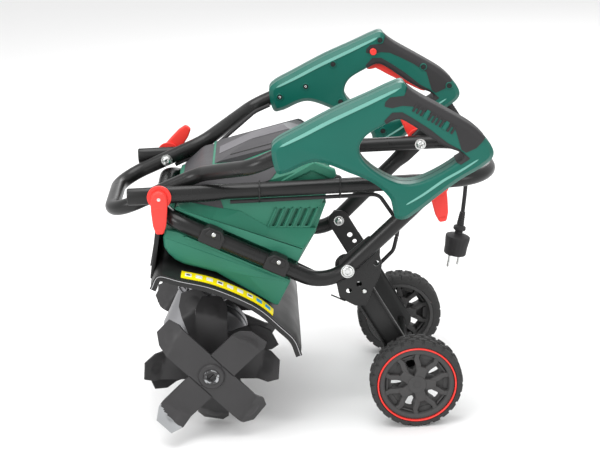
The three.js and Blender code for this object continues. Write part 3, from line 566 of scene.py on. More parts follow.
class TILLER_OT_lead(MakesTiller, bpy.types.Operator):
    """Make the mains lead, its strain relief and its plug"""

    bl_idname = "tiller.lead"
    bl_label = "Mains lead"

    def execute(self, context):
        radius = self.mm(context, "lead") / 2
        path = flowing(LEAD_ROUTE, 4)
        lead = piece("mains_lead", "handle_bar", [(tube(path, radius, 20), "soft_grip")], ["power_cord"])
        start = np.array([291.0, 169, 389])
        reach = LEAD_ROUTE[0] - start
        length = np.linalg.norm(reach)
        heights = np.linspace(-4, length - 1.2, 27)
        sleeve = np.interp(heights, [-4, length], [6.0, 4.4]) - 0.55 * (np.arange(27) % 3 == 2)
        profile = np.vstack([[0.2, -4], np.column_stack([sleeve, heights]), [3.6, length - 1.1],
                             [3.4, length - 2]])
        relief = piece("lead_relief", "handle_bar", [(turned(profile, start, reach), "soft_grip")],
                       ["strain_relief"])
        end = LEAD_ROUTE[-1]
        aim = unit(np.array([-12.0, 0, -80]))
        heights = np.linspace(0.4, 22, 25)
        sleeve = np.interp(heights, [0, 22], [4.5, 6.0]) - 0.7 * (np.arange(25) % 4 == 3)
        body = np.vstack([
            [3.4, 1.5], np.column_stack([sleeve, heights]), [7.5, 23], [9.4, 24], [9.8, 25], [9.8, 28.4],
            [9.2, 29.4], [6.6, 30.6], [6.2, 32], [6.4, 35.4], [9, 36.6], [17.6, 39.2], [19.2, 40.2],
            [19.5, 41.4], [19.3, 46], [18.2, 54.4], [17.9, 56.6], [17.7, 68.6], [16.8, 69.8], [12, 70],
        ])
        ribs = lambda a, r, h: r - np.where((h > 41.5) & (h < 68), 0.5 * (np.cos(a * 18) > 0.2), 0)
        parts = [(turned(body, end, aim, 72, ribs), "soft_grip")]
        for offset in (-9.5, 9.5):
            foot = end + aim * 68 + unit(np.array([0.87, 0.5, 0.0])) * offset
            pin = [[2.3, 0], [2.3, 20], [2.1, 21.2], [1.5, 22.2], [0.7, 22.6]]
            collar = [[3.6, 0], [3.6, 2.2], [3.0, 3.0]]
            parts += [(turned(pin, foot, aim, 20), "zinc_plate"),
                      (turned(collar, foot, aim, 20), "soft_grip")]
        plug = piece("mains_plug", "handle_bar", parts, ["plug"])
        line = stand(path)
        length = float(np.sum(np.linalg.norm(np.diff(line, axis=0), axis=1)))
        return {"FINISHED"}


RISE = np.degrees(np.arctan2(*(REAR_PIVOT - WHEEL_PIVOT)[::-1]))
LOWER_HALF, LOWER_REAR_HALF, MIDDLE_HALF, HANDLE_Y = 112.0, 118.0, 100.0, 169.0
LOWER_HEIGHT, LOWER_SLOPE, BAR_SLOPE = 244.0, -0.46, 0.455
BAR_HALF = 83.7


def lower_z(x):
    return LOWER_HEIGHT + LOWER_SLOPE * x


def middle_z(x):
    return 331 + (x + 136) * 17 / 376


def bar_z(x):
    return FRONT_PIVOT[1] + BAR_SLOPE * (x - FRONT_PIVOT[0])


def both_sides(leg):
    """A leg's points on the left, then the same points back on the right."""
    leg = np.asarray(leg, float)
    return np.vstack([leg, (leg * np.array([1, -1, 1]))[::-1]])


class TILLER_OT_tubes(MakesTiller, bpy.types.Operator):
    """Make the bent tubes of the frame, with their flattened ends and the index plate"""

    bl_idname = "tiller.tubes"
    bl_label = "Frame tubes"

    def lower_frame(self, radius):
        slope = np.tan(np.radians(RISE))
        bend_x = (LOWER_HEIGHT - WHEEL_PIVOT[1] + slope * WHEEL_PIVOT[0]) / (slope - LOWER_SLOPE)
        line = fillet(both_sides([
            [*np.insert(along(REAR_PIVOT, RISE, -52), 1, -LOWER_REAR_HALF)],
            [bend_x, -LOWER_HALF, lower_z(bend_x)], [-136, -LOWER_HALF, lower_z(-136)],
        ]), [55, 45, 45, 55], 14)
        # Beyond the round tube the section flattens over 26 mm and ends in a half round.
        reach = np.concatenate([[-48, -42, -36, -31, -26, 0, 18],
                                21 + 13 * np.sin(np.linspace(0, np.pi / 2, 7))])
        share = np.clip((reach + 52) / 26, 0, 1)
        share = share * share * (3 - 2 * share)
        end_y = LOWER_REAR_HALF + (115.1 - LOWER_REAR_HALF) * share
        x, z = along(REAR_PIVOT, RISE, reach)
        end = np.column_stack([x, -end_y, z])[::-1]
        tall = radius + (13 - radius) * share
        tall = tall * np.sqrt(np.clip(1 - np.clip((reach - 21) / 13.2, 0, 1) ** 2, 0.01, 1))
        across = radius + (4 - radius) * share
        path = np.vstack([end, line, (end * np.array([1, -1, 1]))[::-1]])
        height = np.concatenate([tall[::-1], np.full(len(line), radius), tall])
        width = np.concatenate([across[::-1], np.full(len(line), radius), across])
        return tube(path, radius, 32, height, width)

    def index_plate(self):
        outline = fillet([
            [104, 212], [110, 240], [150, 275], along(WHEEL_PIVOT, RISE, 56, -8), [165, 245], [168, 234],
            [167, 222], [162, 208], [156, 196], [147, 172], [132, 172], [110, 184],
        ], [6, 8, 4, 3, 6, 6, 8, 8, 8, 5, 5, 6], 4, closed=True)
        holes = [
            (*along(WHEEL_PIVOT, INDEX_NOW + 64, 41), 4.2), (*along(WHEEL_PIVOT, INDEX_NOW, 28.5), 4.0),
            (123, 194, 4.0), (*along(WHEEL_PIVOT, INDEX_NOW, 41), 3.4),
        ]
        blank = plate(outline, -115.2, -112, 0.5, 2)
        return carved(blank, [turned([[r, -8], [r, 8]], (x, -113, z)) for x, z, r in holes])

    def execute(self, context):
        lower, upper = self.mm(context, "lower_tube"), self.mm(context, "upper_tube")
        seam = np.array([[x, -LOWER_HALF - 3.4, lower_z(x) - 10.2] for x in np.linspace(98, 118, 5)])
        parts = [self.lower_frame(lower), self.index_plate(), tube(seam, 1.1, 8)]
        piece("lower_frame", "chassis", [(part, "tube_coat") for part in parts], ["lower_frame_tube"])
        front = np.array([-180.0, -179.4, -178, -160, -72, -60, -52, -44])
        share = np.clip((-front - 44) / 22, 0, 1)
        share = share * share * (3 - 2 * share)
        ends = np.array([0.82, 0.95, 1, 1, 1, 1, 1, 1])
        legs = np.column_stack([front, -MIDDLE_HALF - 2.5 * share, middle_z(front)])
        line = fillet(np.vstack([legs[-1], [320.5, -MIDDLE_HALF, middle_z(320.5)],
                                 [320.5, MIDDLE_HALF, middle_z(320.5)], legs[-1] * [1, -1, 1]]), 62, 16)
        path = np.vstack([legs[:-1], line, (legs[:-1] * [1, -1, 1])[::-1]])
        tall, across = (upper + (12 - upper) * share) * ends, (upper + (8 - upper) * share) * ends
        middle = np.full(len(line) - 2, upper)
        tall, across = (np.concatenate([k, middle, k[::-1]]) for k in (tall, across))
        piece("middle_frame", "middle_frame", [(tube(path, upper, 32, tall, across), "tube_coat")],
              ["middle_frame_tube"])
        bar = fillet(both_sides([
            [104, -HANDLE_Y, bar_z(104)], [-8, -HANDLE_Y, bar_z(-8)], [-82, -BAR_HALF, bar_z(-82)],
            [-206, -BAR_HALF, bar_z(-206)],
        ]), 42, 14)
        piece("handle_bar", "handle_bar", [(tube(bar, upper, 32), "tube_coat")], ["handle_bar_tube"])
        return {"FINISHED"}


class TILLER_OT_wheels(MakesTiller, bpy.types.Operator):
    """Make the tyres with their tread blocks, the five-armed rims and the red trims"""

    bl_idname = "tiller.wheels"
    bl_label = "Wheels"

    def tyre(self, tread):
        """Grooves cut the tread where a wave round the tyre and the row's own stagger agree."""
        y = np.array([-112, -112, -112.6, -114.5, -117, -121.5, -122.5, -129.5, -130.5, -137.5, -138.5,
                      -142, -145, -147.2, -148, -148, -147.2, -141])
        r = np.array([52.9, 58, 61.2, 63.4, 64.6, 65, 65, 65, 65, 65, 65, 65, 64.2, 62.4,
                      60.4, 56.6, 56, 55.6])

        def grooves(a, radii, heights):
            row = np.digitize(heights - 130, [-138.2, -130.2, -122.2]) % 2
            wave = np.cos(a * 26 + np.pi * row)
            depth = tread * np.clip((wave - 0.62) / 0.12, 0, 1)
            edge = np.isin(np.round(heights - 130, 1), [-138.5, -130.5, -122.5]) * tread * 0.55
            return radii - np.where(radii > 59, np.maximum(depth, edge), 0)

        profile = np.vstack([np.column_stack([r, y + 130]), [52.9, -11], [52.9, 18]])
        return turned(profile, WHEEL_MIDDLE, sides=360, radius_at=grooves)

    def rim(self):
        parts = [turned([[46.5, -16.6], [49.6, -17.2], [52.2, -16.4], [52.4, -15], [52.4, 18], [47.5, 18],
                         [47.5, 9], [44.6, 6], [44.4, -12], [45.6, -15.6], [46.5, -16.6]], WHEEL_MIDDLE,
                         sides=96)]
        for k in range(5):
            a = 72.0 * k
            stem = [along(WHEEL, a, 6, -8), along(WHEEL, a, 27, -6.5), along(WHEEL, a, 27, 6.5),
                    along(WHEEL, a, 6, 8)]
            parts.append(plate(stem, -146.4, -122, 1.4))
            for lean in (-1, 1):
                arm = fillet([
                    along(WHEEL, a, 19, lean * 0.4), along(WHEEL, a, 30, lean * 4.5),
                    along(WHEEL, a + lean * 19, 40, -2.5 * lean),
                    along(WHEEL, a + lean * 17, 46.6, -3.2 * lean),
                    along(WHEEL, a + lean * 17, 46.6, 4.2 * lean),
                    along(WHEEL, a + lean * 22, 37, 2.5 * lean), along(WHEEL, a, 28, lean * 12),
                    along(WHEEL, a, 17, lean * 6.6),
                ], 1.0, 2, closed=True)
                parts.append(plate(arm, -145.6, -124, 1.3))
            web = [along(WHEEL, a - 13, 38, 0), along(WHEEL, a - 13, 45.8, 0), along(WHEEL, a + 13, 45.8, 0),
                   along(WHEEL, a + 13, 38, 0)]
            parts.append(plate(web, -140, -126, 1.0))
            tie = [along(WHEEL, a + 22, 43.4, -7), along(WHEEL, a + 22, 46, -7), along(WHEEL, a + 50, 46, 7),
                   along(WHEEL, a + 50, 43.4, 7)]
            parts.append(plate(tie, -143, -126, 0.8))
        disc = turned([[8, -9], [46.5, -9], [46.5, -5], [8, -5], [8, -9]], WHEEL_MIDDLE, sides=80)
        windows = []
        for k in range(5):
            a = 72.0 * k + 36
            window = [along(WHEEL, a, 20), along(WHEEL, a, 26, -6.5), along(WHEEL, a, 33, -7.5),
                      along(WHEEL, a, 36, -3),
                      along(WHEEL, a, 36, 3), along(WHEEL, a, 33, 7.5), along(WHEEL, a, 26, 6.5)]
            windows.append(plate(fillet(window, 1.6, 3, closed=True), -150, -120, 0.05, 1))
        parts.append(carved(disc, windows))
        hub = [[5.4, -16.6], [9.4, -17.6], [12.6, -17.2], [13.4, -15.8], [13.4, 19], [9, 20], [5.4, 20],
               [5.4, -16.6]]
        parts.append(turned(hub, WHEEL_MIDDLE, sides=48))
        parts.append(turned([[0.1, -16], [6.4, -16.2], [6.8, -14.5], [0.1, -12]], WHEEL_MIDDLE, sides=6))
        return parts

    def execute(self, context):
        tyre = self.tyre(self.mm(context, "tread"))
        trim = turned([[53.2, -18.3], [53.8, -18.9], [54.8, -18.9], [55.4, -18.2], [55.4, -12], [53.2, -12],
                       [53.2, -18.3]],
                      WHEEL_MIDDLE, sides=96)
        for side_name, side in SIDES.items():
            body = f"wheel_{side_name}"
            piece(f"tyre_{side_name}", body, [(on_side(side, tyre), "tyre_grey")],
                  [f"wheel_tyre_{side_name}"])
            piece(f"rim_{side_name}", body, [(on_side(side, part), "wheel_grey") for part in self.rim()],
                  [f"wheel_rim_{side_name}"])
            piece(f"trim_{side_name}", body, [(on_side(side, trim), "red_gloss")],
                  [f"wheel_ring_{side_name}"])
        return {"FINISHED"}


class TILLER_OT_carriage(MakesTiller, bpy.types.Operator):
    """Make the pressed legs that carry the wheels, their axle and the index pin"""

    bl_idname = "tiller.carriage"
    bl_label = "Wheel carriage"

    def leg(self):
        span = WHEEL - WHEEL_PIVOT
        length, angle = np.hypot(*span), np.degrees(np.arctan2(span[1], span[0]))
        a = np.radians(np.linspace(90, 270, 19))
        top = np.array([along(WHEEL_PIVOT, angle, 16 * np.cos(t), 16 * np.sin(t)) for t in a])
        bottom = np.array([along(WHEEL, angle, -16 * np.cos(t), -16 * np.sin(t)) for t in a])
        web = plate(np.vstack([top, bottom]), -100, -97, 0.6, 2)
        holes = [(*WHEEL_PIVOT, 4.3), (*WHEEL, 5.3), (*along(WHEEL_PIVOT, INDEX_NOW, 28.5), 4),
                 (*along(WHEEL_PIVOT, INDEX_NOW, 41), 3.3)]
        web = carved(web, [turned([[r, -8], [r, 8]], (x, -98, z)) for x, z, r in holes])
        flanges = []
        for near, far in ((-16, -13), (13, 16)):
            strip = [along(WHEEL_PIVOT, angle, 34, near), along(WHEEL_PIVOT, angle, length - 12, near),
                     along(WHEEL_PIVOT, angle, length - 12, far), along(WHEEL_PIVOT, angle, 34, far)]
            flanges.append(plate(strip, -106, -97, 1.1, 3))
        return [web, *flanges]

    def execute(self, context):
        for side_name, side in SIDES.items():
            parts = [(on_side(side, part), "black_satin") for part in self.leg()]
            piece(f"leg_{side_name}", "carriage", parts, [f"carriage_leg_{side_name}"])
        axle = [[0.2, -140], [4.2, -140], [5, -139], [5, 139], [4.2, 140], [0.2, 140]]
        piece("axle", "carriage", [(turned(axle, (WHEEL[0], 0, WHEEL[1])), "tube_coat")], ["wheel_axle"])
        x, z = along(WHEEL_PIVOT, INDEX_NOW, 41)
        pin = [[0.2, -118.4], [2.2, -118.2], [3, -117.4], [3, -97], [6.4, -96.6], [7, -96], [7, -86],
               [6, -85], [0.2, -85]]
        piece("index_pin_knob", "carriage", [(turned(pin, (x, 0, z), sides=28), "zinc_plate")],
              ["index_pin"])
        return {"FINISHED"}


def bolt_head(x, y, z, side, radius, height=4.5, recess=0.48):
    """A domed head with a hexagonal recess, its crown pointing out of the given side.

    The dome's radius falls as the cosine while its height rises as the sine."""
    a = np.linspace(0, np.pi / 2, 9)[:-2]
    rim = radius * recess
    dome = np.column_stack([rim + (radius - rim) * np.cos(a), height * np.sin(a)])
    profile = np.vstack([[0.2, 0], [radius, 0], dome, [rim + 0.3, height], [rim, height - 0.3],
                         [rim, height * 0.4], [0.2, height * 0.3]])

    def six_sided(angles, radii, heights):
        flats = np.minimum(hexagonal(angles, radii * 0.9), rim + 0.3)
        return np.where((radii < rim + 0.4) & (radii > 0.5), flats, radii)

    return turned(profile, (x, y, z), (0, side, 0), 36, six_sided)


class TILLER_OT_bolts(MakesTiller, bpy.types.Operator):
    """Make the pivot bolts with their domed heads"""

    bl_idname = "tiller.bolts"
    bl_label = "Pivot bolts"

    def bolt(self, centre, inner, outer, head, cup):
        x, z = centre
        shank = turned([[0.2, -outer], [4, -outer], [4, -inner], [0.2, -inner]], (x, 0, z), sides=24)
        washer = turned([[0.2, 0], [head + 1.6, 0], [head + 1.8, 0.3], [head + 1.6, 0.9], [0.2, 0.9]],
                        (x, -inner, z), (0, 1, 0), 36)
        parts = [shank, washer, bolt_head(x, -inner + 0.8, z, 1, head)]
        if cup:
            cover = turned([[0.2, 0], [cup - 0.6, 0], [cup, 0.5], [cup, 2.4], [cup - 0.6, 3], [0.2, 3]],
                           (x, -outer, z), (0, -1, 0), 40)
            return [*parts, cover]
        rim = [[0.2, 0], [9.2, 0], [9.6, 0.5], [9.2, 1.2], [0.2, 1.2]]
        ring = turned(rim, (x, -outer, z), (0, -1, 0), 40)
        return [*parts, ring, bolt_head(x, -outer - 1, z, -1, 8.0, 3.4)]

    def execute(self, context):
        kinds = {
            "wheel_pivot_bolt": ("chassis", WHEEL_PIVOT, 96.7, 126, 6.0, None),
            "front_pivot_bolt": ("handle_bar", FRONT_PIVOT, 72.9, 110.8, 6.6, 16.5),
            "rear_pivot_bolt": ("middle_frame", REAR_PIVOT, 89.2, 119.4, 6.6, 16.5),
        }
        for kind, (body, *sizes) in kinds.items():
            for side_name, side in SIDES.items():
                parts = self.bolt(*sizes)
                all_zinc = kind == "wheel_pivot_bolt"
                names = ["zinc_plate"] * len(parts) if all_zinc else ["zinc_plate"] * 3 + ["red_gloss"]
                piece(f"{kind}_{side_name}_head", body,
                      [(on_side(side, part), name) for part, name in zip(parts, names)],
                      [f"{kind}_{side_name}"])
        return {"FINISHED"}


class TILLER_OT_levers(MakesTiller, bpy.types.Operator):
    """Make the red cam levers on the folding joints"""

    bl_idname = "tiller.levers"
    bl_label = "Cam levers"

    def lever(self, centre, base, degrees):
        """A disc with a groove round its boss, and a tab whose outline narrows to its tip and ends in a
        raised lip."""
        x, z = centre
        y = -base - 3.3
        disc = turned([[0.2, 0], [10.2, 0], [10.8, 0.6], [10.8, 6.4], [10, 7.4], [8.6, 7.4], [7.8, 5.4],
                       [6.6, 5.4], [5.8, 7.8], [0.2, 8.2]], (x, y, z), (0, -1, 0), 48)
        at = lambda r, w: along(centre, degrees, r, w)
        outline = fillet([at(-9, -7), at(2, -11.5), at(18, -11), at(38, -9), at(50, -5), at(50, 5), at(38, 9),
                          at(18, 11), at(2, 11.5), at(-9, 7)], [4, 5, 5, 5, 4, 4, 5, 5, 5, 4], 4, closed=True)
        tab = plate(outline, y - 8.6, y - 0.2, 2.4, 5)
        lip = plate(fillet([at(43, -6), at(48.6, -3.6), at(48.6, 3.6), at(43, 6)], 1.2, 3, closed=True),
                    y - 9.3, y - 5, 0.9)
        pivot = turned([[0.2, 0], [2.6, 0], [2.4, 0.9], [0.2, 1.1]], (x, y - 8.0, z), (0, -1, 0), 20)
        panel = plate(fillet([at(12, -7.5), at(40, -6), at(40, 6), at(12, 7.5)], 3, 4, closed=True), y - 8.9,
                      y - 6, 0.5)
        return [(disc, "red_gloss"), (tab, "red_gloss"), (lip, "red_gloss"), (panel, "red_gloss"),
                (pivot, "zinc_plate")]

    def execute(self, context):
        aims = {"front_left": -90, "rear_left": -80, "front_right": 52, "rear_right": 120}
        for key, aim in aims.items():
            place, side = key.split("_")
            centre, base = (FRONT_PIVOT, 110.8) if place == "front" else (REAR_PIVOT, 119.4)
            parts = [(on_side(SIDES[side], surface), name) for surface, name in self.lever(centre, base, aim)]
            piece(f"lever_{key}_red", f"lever_{key}", parts, [f"cam_lever_{key}"])
        return {"FINISHED"}


class TILLER_OT_tines(MakesTiller, bpy.types.Operator):
    """Make the tine shaft and the six stars of bent, embossed blades"""

    bl_idname = "tiller.tines"
    bl_label = "Tine stars"

    def blade(self, y, degrees, lean, slant, thickness, start):
        """A strip on a grid of distance from the shaft and distance across.

        Up to a slanted fold line it lies flat; beyond, its distance out turns sideways through the lean
        angle on a short arc. A dome stands out of it near the tip, and the two faces lie half a
        thickness to either side."""
        out = np.concatenate([np.linspace(start, 54, 10), np.linspace(56, 80, 17), np.linspace(82, 102, 14)])
        half = np.interp(out, [0, 84, 102], [22, 22, 13.5])
        across = np.linspace(-1, 1, 17)[None, :] * half[:, None]
        fold = 66 - slant * 6 * across / 22
        beyond = out[:, None] - fold
        arc = 7.0
        turn = lean * np.clip(beyond / arc, 0, 1)
        bent_part = np.clip(beyond, 0, arc)
        safe = np.where(np.abs(turn) < 1e-6, 1.0, turn)
        radial = fold + np.minimum(beyond, 0) + np.where(beyond > 0, bent_part * np.sin(safe) / safe, 0)
        sideways = np.where(beyond > 0, bent_part * (1 - np.cos(safe)) / safe, 0)
        straight = np.clip(beyond - arc, 0, None)
        radial, sideways = radial + straight * np.cos(turn), sideways + straight * np.sin(turn)
        swell = 1 - ((out[:, None] - 80) / 11) ** 2 - (across / 10) ** 2
        dome = 3.4 * np.clip(swell, 0, 1) ** 0.5 * np.sign(lean)
        mid = np.stack([radial, across, sideways - dome * 0.6], -1)
        normal = unit(np.cross(np.gradient(mid, axis=0), np.gradient(mid, axis=1)))
        taper = np.interp(out, [60, 102], [1, 0.45])[:, None, None]
        top, under = mid + normal * thickness / 2 * taper, mid - normal * thickness / 2 * taper
        rings = np.concatenate([top, under[:, ::-1]], axis=1)
        a = np.radians(degrees)
        u = np.array([np.cos(a), 0, np.sin(a)])
        v = np.array([-np.sin(a), 0, np.cos(a)])
        place = np.array([TINE[0], y, TINE[1]])
        rings = place + rings[..., :1] * u + rings[..., 1:2] * v + rings[..., 2:] * np.array([0, 1.0, 0])
        return skin(rings)

    def star(self, y, degrees, turn_over, thickness):
        parts = []
        for k in range(4):
            lean = (1 if k % 2 else -1) * 0.75
            parts.append(self.blade(y, degrees + 90 * k, lean, -1 if turn_over else 1, thickness,
                                    0.5 if k % 2 else 21.0))
        # The collar is a turned ring with a rounded rim on either face.
        collar = [[11.4, -5.4], [13.5, -5.8], [16.5, -5.6], [18, -4], [18.8, -2], [18.8, 2], [18, 4],
                  [16.5, 5.6], [13.5, 5.8], [11.4, 5.4], [11.4, -5.4]]
        parts.append(turned(collar, (TINE[0], y, TINE[1]), sides=56))
        return parts

    def execute(self, context):
        thickness = self.mm(context, "blade")
        for k, (spread, turn) in enumerate(zip((150, 110, 70), (45, 0, 20))):
            for side_name, side in SIDES.items():
                over = (k == 1) if side == LEFT else (k != 1)
                degrees = turn if side == LEFT else turn + 45
                parts = [(part, "tine_paint") for part in self.star(side * spread, degrees, over, thickness)]

                def wear_and_glint(points, spread=spread, side=side):
                    """Bare towards the tips from wear, and all over the lowest front tip of the near star,
                    whose bare metal there is a painted reflection."""
                    x, z = (points[:, [0, 2]] - TINE).T
                    away = np.hypot(x, z)
                    angle = np.degrees(np.arctan2(z, x))
                    # The near star's whole lowest front tip is made bare metal to paint the reflection on it.
                    bright = (np.abs(angle + 135) < 28) & (side == LEFT) & (spread == 150)
                    tip = np.clip((away - 92) / 16, 0, 0.28)
                    return np.where(bright & (away > 82), 1.3, tip)

                piece(f"star_{side_name}_{k + 1}", "tines", parts, [f"tine_star_{side_name}_{k + 1}"],
                      wear_and_glint=wear_and_glint)
        shaft = [[7, -157], [10.4, -157], [11, -156.4], [11, 156.4], [10.4, 157], [7, 157], [6.5, 156],
                 [6.5, -156], [7, -157]]
        piece("shaft", "tines", [(turned(shaft, (TINE[0], 0, TINE[1]), sides=48), "tine_paint")],
              ["tine_shaft"], wear_and_glint=lambda points: np.where(np.abs(points[:, 1]) > 155.8, 0.5, 0.0))
        paint_frame_nodes(["worm_wheel"], "bronze")
        paint_frame_nodes(["motor_rotor"], "zinc_plate")
        paint_frame_nodes(["motor_stator"], "windings")
        return {"FINISHED"}


BODY_OUTLINE = [
    [46, 211], [101, 346], [90, 360], [62, 379], [36, 387], [16, 380], [-24, 364], [-62, 360], [-80, 357],
    [-94, 342], [-116, 318], [-120, 294],
]
COVER_OUTLINE = [
    [-106, 233], [-61, 220], [19, 171], [25, 170], [43, 207], [40, 211.6], [-112, 281.5], [-128, 285],
    [-133, 272], [-132, 258], [-126, 248], [-117, 239],
]
FENDER_LINE = flowing([
    [-150, 214], [-138, 233], [-108, 226], [-61, 214], [-5, 187], [30, 156], [48, 137], [57, 114],
], 7)


class TILLER_OT_housing(MakesTiller, bpy.types.Operator):
    """Make the motor housing with its shoulders, vents and cap, and the lower cover"""

    bl_idname = "tiller.housing"
    bl_label = "Motor housing"

    def flare(self):
        """A loft between matching outlines that grow downwards as they step outwards."""
        crown = [[-118, 300], [46, 214], [80, 277], [14, 278], [-27, 303], [-58, 308], [-112, 320]]
        skirt = [[-119, 313], [52, 234], [62, 256], [3, 260], [-62, 291], [-66, 292], [-112, 316]]
        radii = [2, 2, 3, 8, 8, 3, 3]
        levels = [(-74, 0, 0), (-87, 0, 0), (-101.5, 0.93, 0), (-104, 1, 0), (-105.4, 1, 0.8), (-106, 1, 2.2)]
        crown, skirt = (fillet(k, radii, 5, closed=True) for k in (crown, skirt))
        return skin([level(inset(anticlockwise(crown + (skirt - crown) * s), d), y) for y, s, d in levels])

    def above(self, x, y, z, rise, fall, start):
        """What lies over a roof plane: it rises along x, and falls to the left from the width at which
        it starts."""
        rings = [[(at, -w, z + rise * (at - x) - fall * (w - y)) for w in (start, 200)]
                 + [(at, -200, 700), (at, -start, 700)] for at in (-300.0, 300.0)]
        return skin(np.array(rings))

    def body(self):
        """The rounded body with its shoulders cut down to a slope on both sides."""
        outline = fillet(BODY_OUTLINE, [4, 9, 8, 12, 20, 20, 30, 30, 20, 12, 10, 4], 5, closed=True)
        shoulder = self.above(75, 80, 376, 0.32, 1.2, 40)
        return carved(plate(outline, -88, 88, 10, 6), [shoulder, mirrored(shoulder)])

    def execute(self, context):
        body = self.body()
        flares = [self.flare(), mirrored(self.flare())]
        slots = []
        for k in range(5):
            x = 16 + 11.5 * k
            slot = fillet([[x, 280], [x + 4.4, 280], [x + 15.4, 306], [x + 11, 306]], 1.2, 2, closed=True)
            slots += [plate(slot, -96, -81, 0.4, 1), plate(slot, 81, 96, 0.4, 1)]
        body = carved(body, slots)
        parts = [(body, "housing_satin"), *[(flare, "housing_satin") for flare in flares]]
        for k in range(6):
            x = 10.2 + 11.5 * k
            rib = plate([[x, 280], [x + 2.2, 280], [x + 13.4, 307], [x + 11.2, 307]], -89.4, -84, 0.8, 2)
            parts += [(rib, "housing_satin"), (mirrored(rib), "housing_satin")]
        backing = plate([[12, 272], [78, 272], [92, 312], [30, 312]], -80, 80, 1)
        # A dark band runs over the front of the body and ends in a V on either side.
        band = self.body()
        band = (band[0] + np.sign(band[0] - [-10, 0, 280]) * [0, 0.7, 0.7], band[1])
        zone = fillet([[46, 400], [46, 378], [28, 362], [12, 345], [-56, 327], [-48, 302], [-62, 286],
                       [-80, 290],
                       [-100, 306], [-110, 330], [-100, 400]], [1, 3, 3, 4, 5, 2, 4, 4, 8, 8, 2], 3,
                       closed=True)
        band = carved(band, [plate(zone, -150, 150, 0.05, 1)], "INTERSECT")
        shoulder = fillet([[26, 341], [30, 347], [74, 373], [104, 361], [106, 352], [100, 347], [72, 359],
                           [32, 340]],
                          2.5, 3, closed=True)
        shoulder = plate(shoulder, -90, -78, 3.0, 4)
        bump = turned([[0.2, 0], [6.5, 0], [7, 1], [7, 9], [6, 11], [0.2, 11.6]], (102, -60, 341),
                      (0.75, 0, -0.3), 28)
        parts += [(backing, "housing_satin"), (band, "cap_grey"), (shoulder, "housing_satin"),
                  (mirrored(shoulder), "housing_satin"), (bump, "black_satin")]
        piece("motor_housing", "chassis", parts, ["housing_left", "housing_right"], sharp=30)
        crest = [[84, 340], [86, 372], [80, 382], [61, 396], [34, 403.5], [20, 399], [-13, 386], [-62, 363],
                 [-62, 345]]
        cap = plate(fillet(crest, [2, 4, 6, 8, 6, 8, 12, 1.5, 2], 4, closed=True), -60, 60, 2.5, 0)
        slope = self.above(34, 0, 403.5, 0.27, 0.225, 0.2)
        cap = carved(cap, [slope, mirrored(slope)])
        rim = fillet([[90, 340], [88, 363], [62, 381.5], [36, 389.5], [16, 382.5], [-24, 366.5],
                      [-65, 362.5], [-66, 350]],
                     [2, 6, 10, 10, 20, 20, 2, 2], 4, closed=True)
        # A lighter copy of the cap grey along the crest is a painted highlight on the top facet, and a fine
        # black strip along each flank is the painted shade of a slit.
        raised = (cap[0] + [0, 0, 0.5], cap[1])
        roof = carved(raised, [plate([[-56, 330], [78, 330], [78, 420], [-56, 420]], -19, 19, 0.2, 1)],
                      "INTERSECT")
        flank = [[-40, 330], [70, 330], [70, 420], [-40, 420]]
        lines = [carved(raised, [plate(flank, y - 1, y + 1, 0.2, 1)], "INTERSECT") for y in (-48, 48)]
        parts = [(cap, "cap_grey"), (roof, "cap_light"), (plate(rim, -63, 63, 2.0, 3), "housing_satin")]
        parts += [(line, "black_gloss") for line in lines]
        piece("motor_cap_top", "chassis", parts, ["motor_cap"], sharp=24)
        outline = fillet(COVER_OUTLINE, [6, 12, 3, 3, 5, 3, 3, 3, 6, 8, 8, 6], 5, closed=True)
        cover = plate(outline, -110, 110, 7, 6)
        ridge = fillet([[-108, 273.5], [-100, 274.5], [41, 209.5], [40, 207], [-102, 272]], 0.7, 2,
                       closed=True)
        ridge = plate(ridge, -110.8, -106, 0.9)
        parts = [(part, "housing_satin") for part in (cover, ridge, mirrored(ridge))]
        piece("lower_cover", "chassis", parts, ["lower_cover_left", "lower_cover_right"], sharp=30)
        return {"FINISHED"}


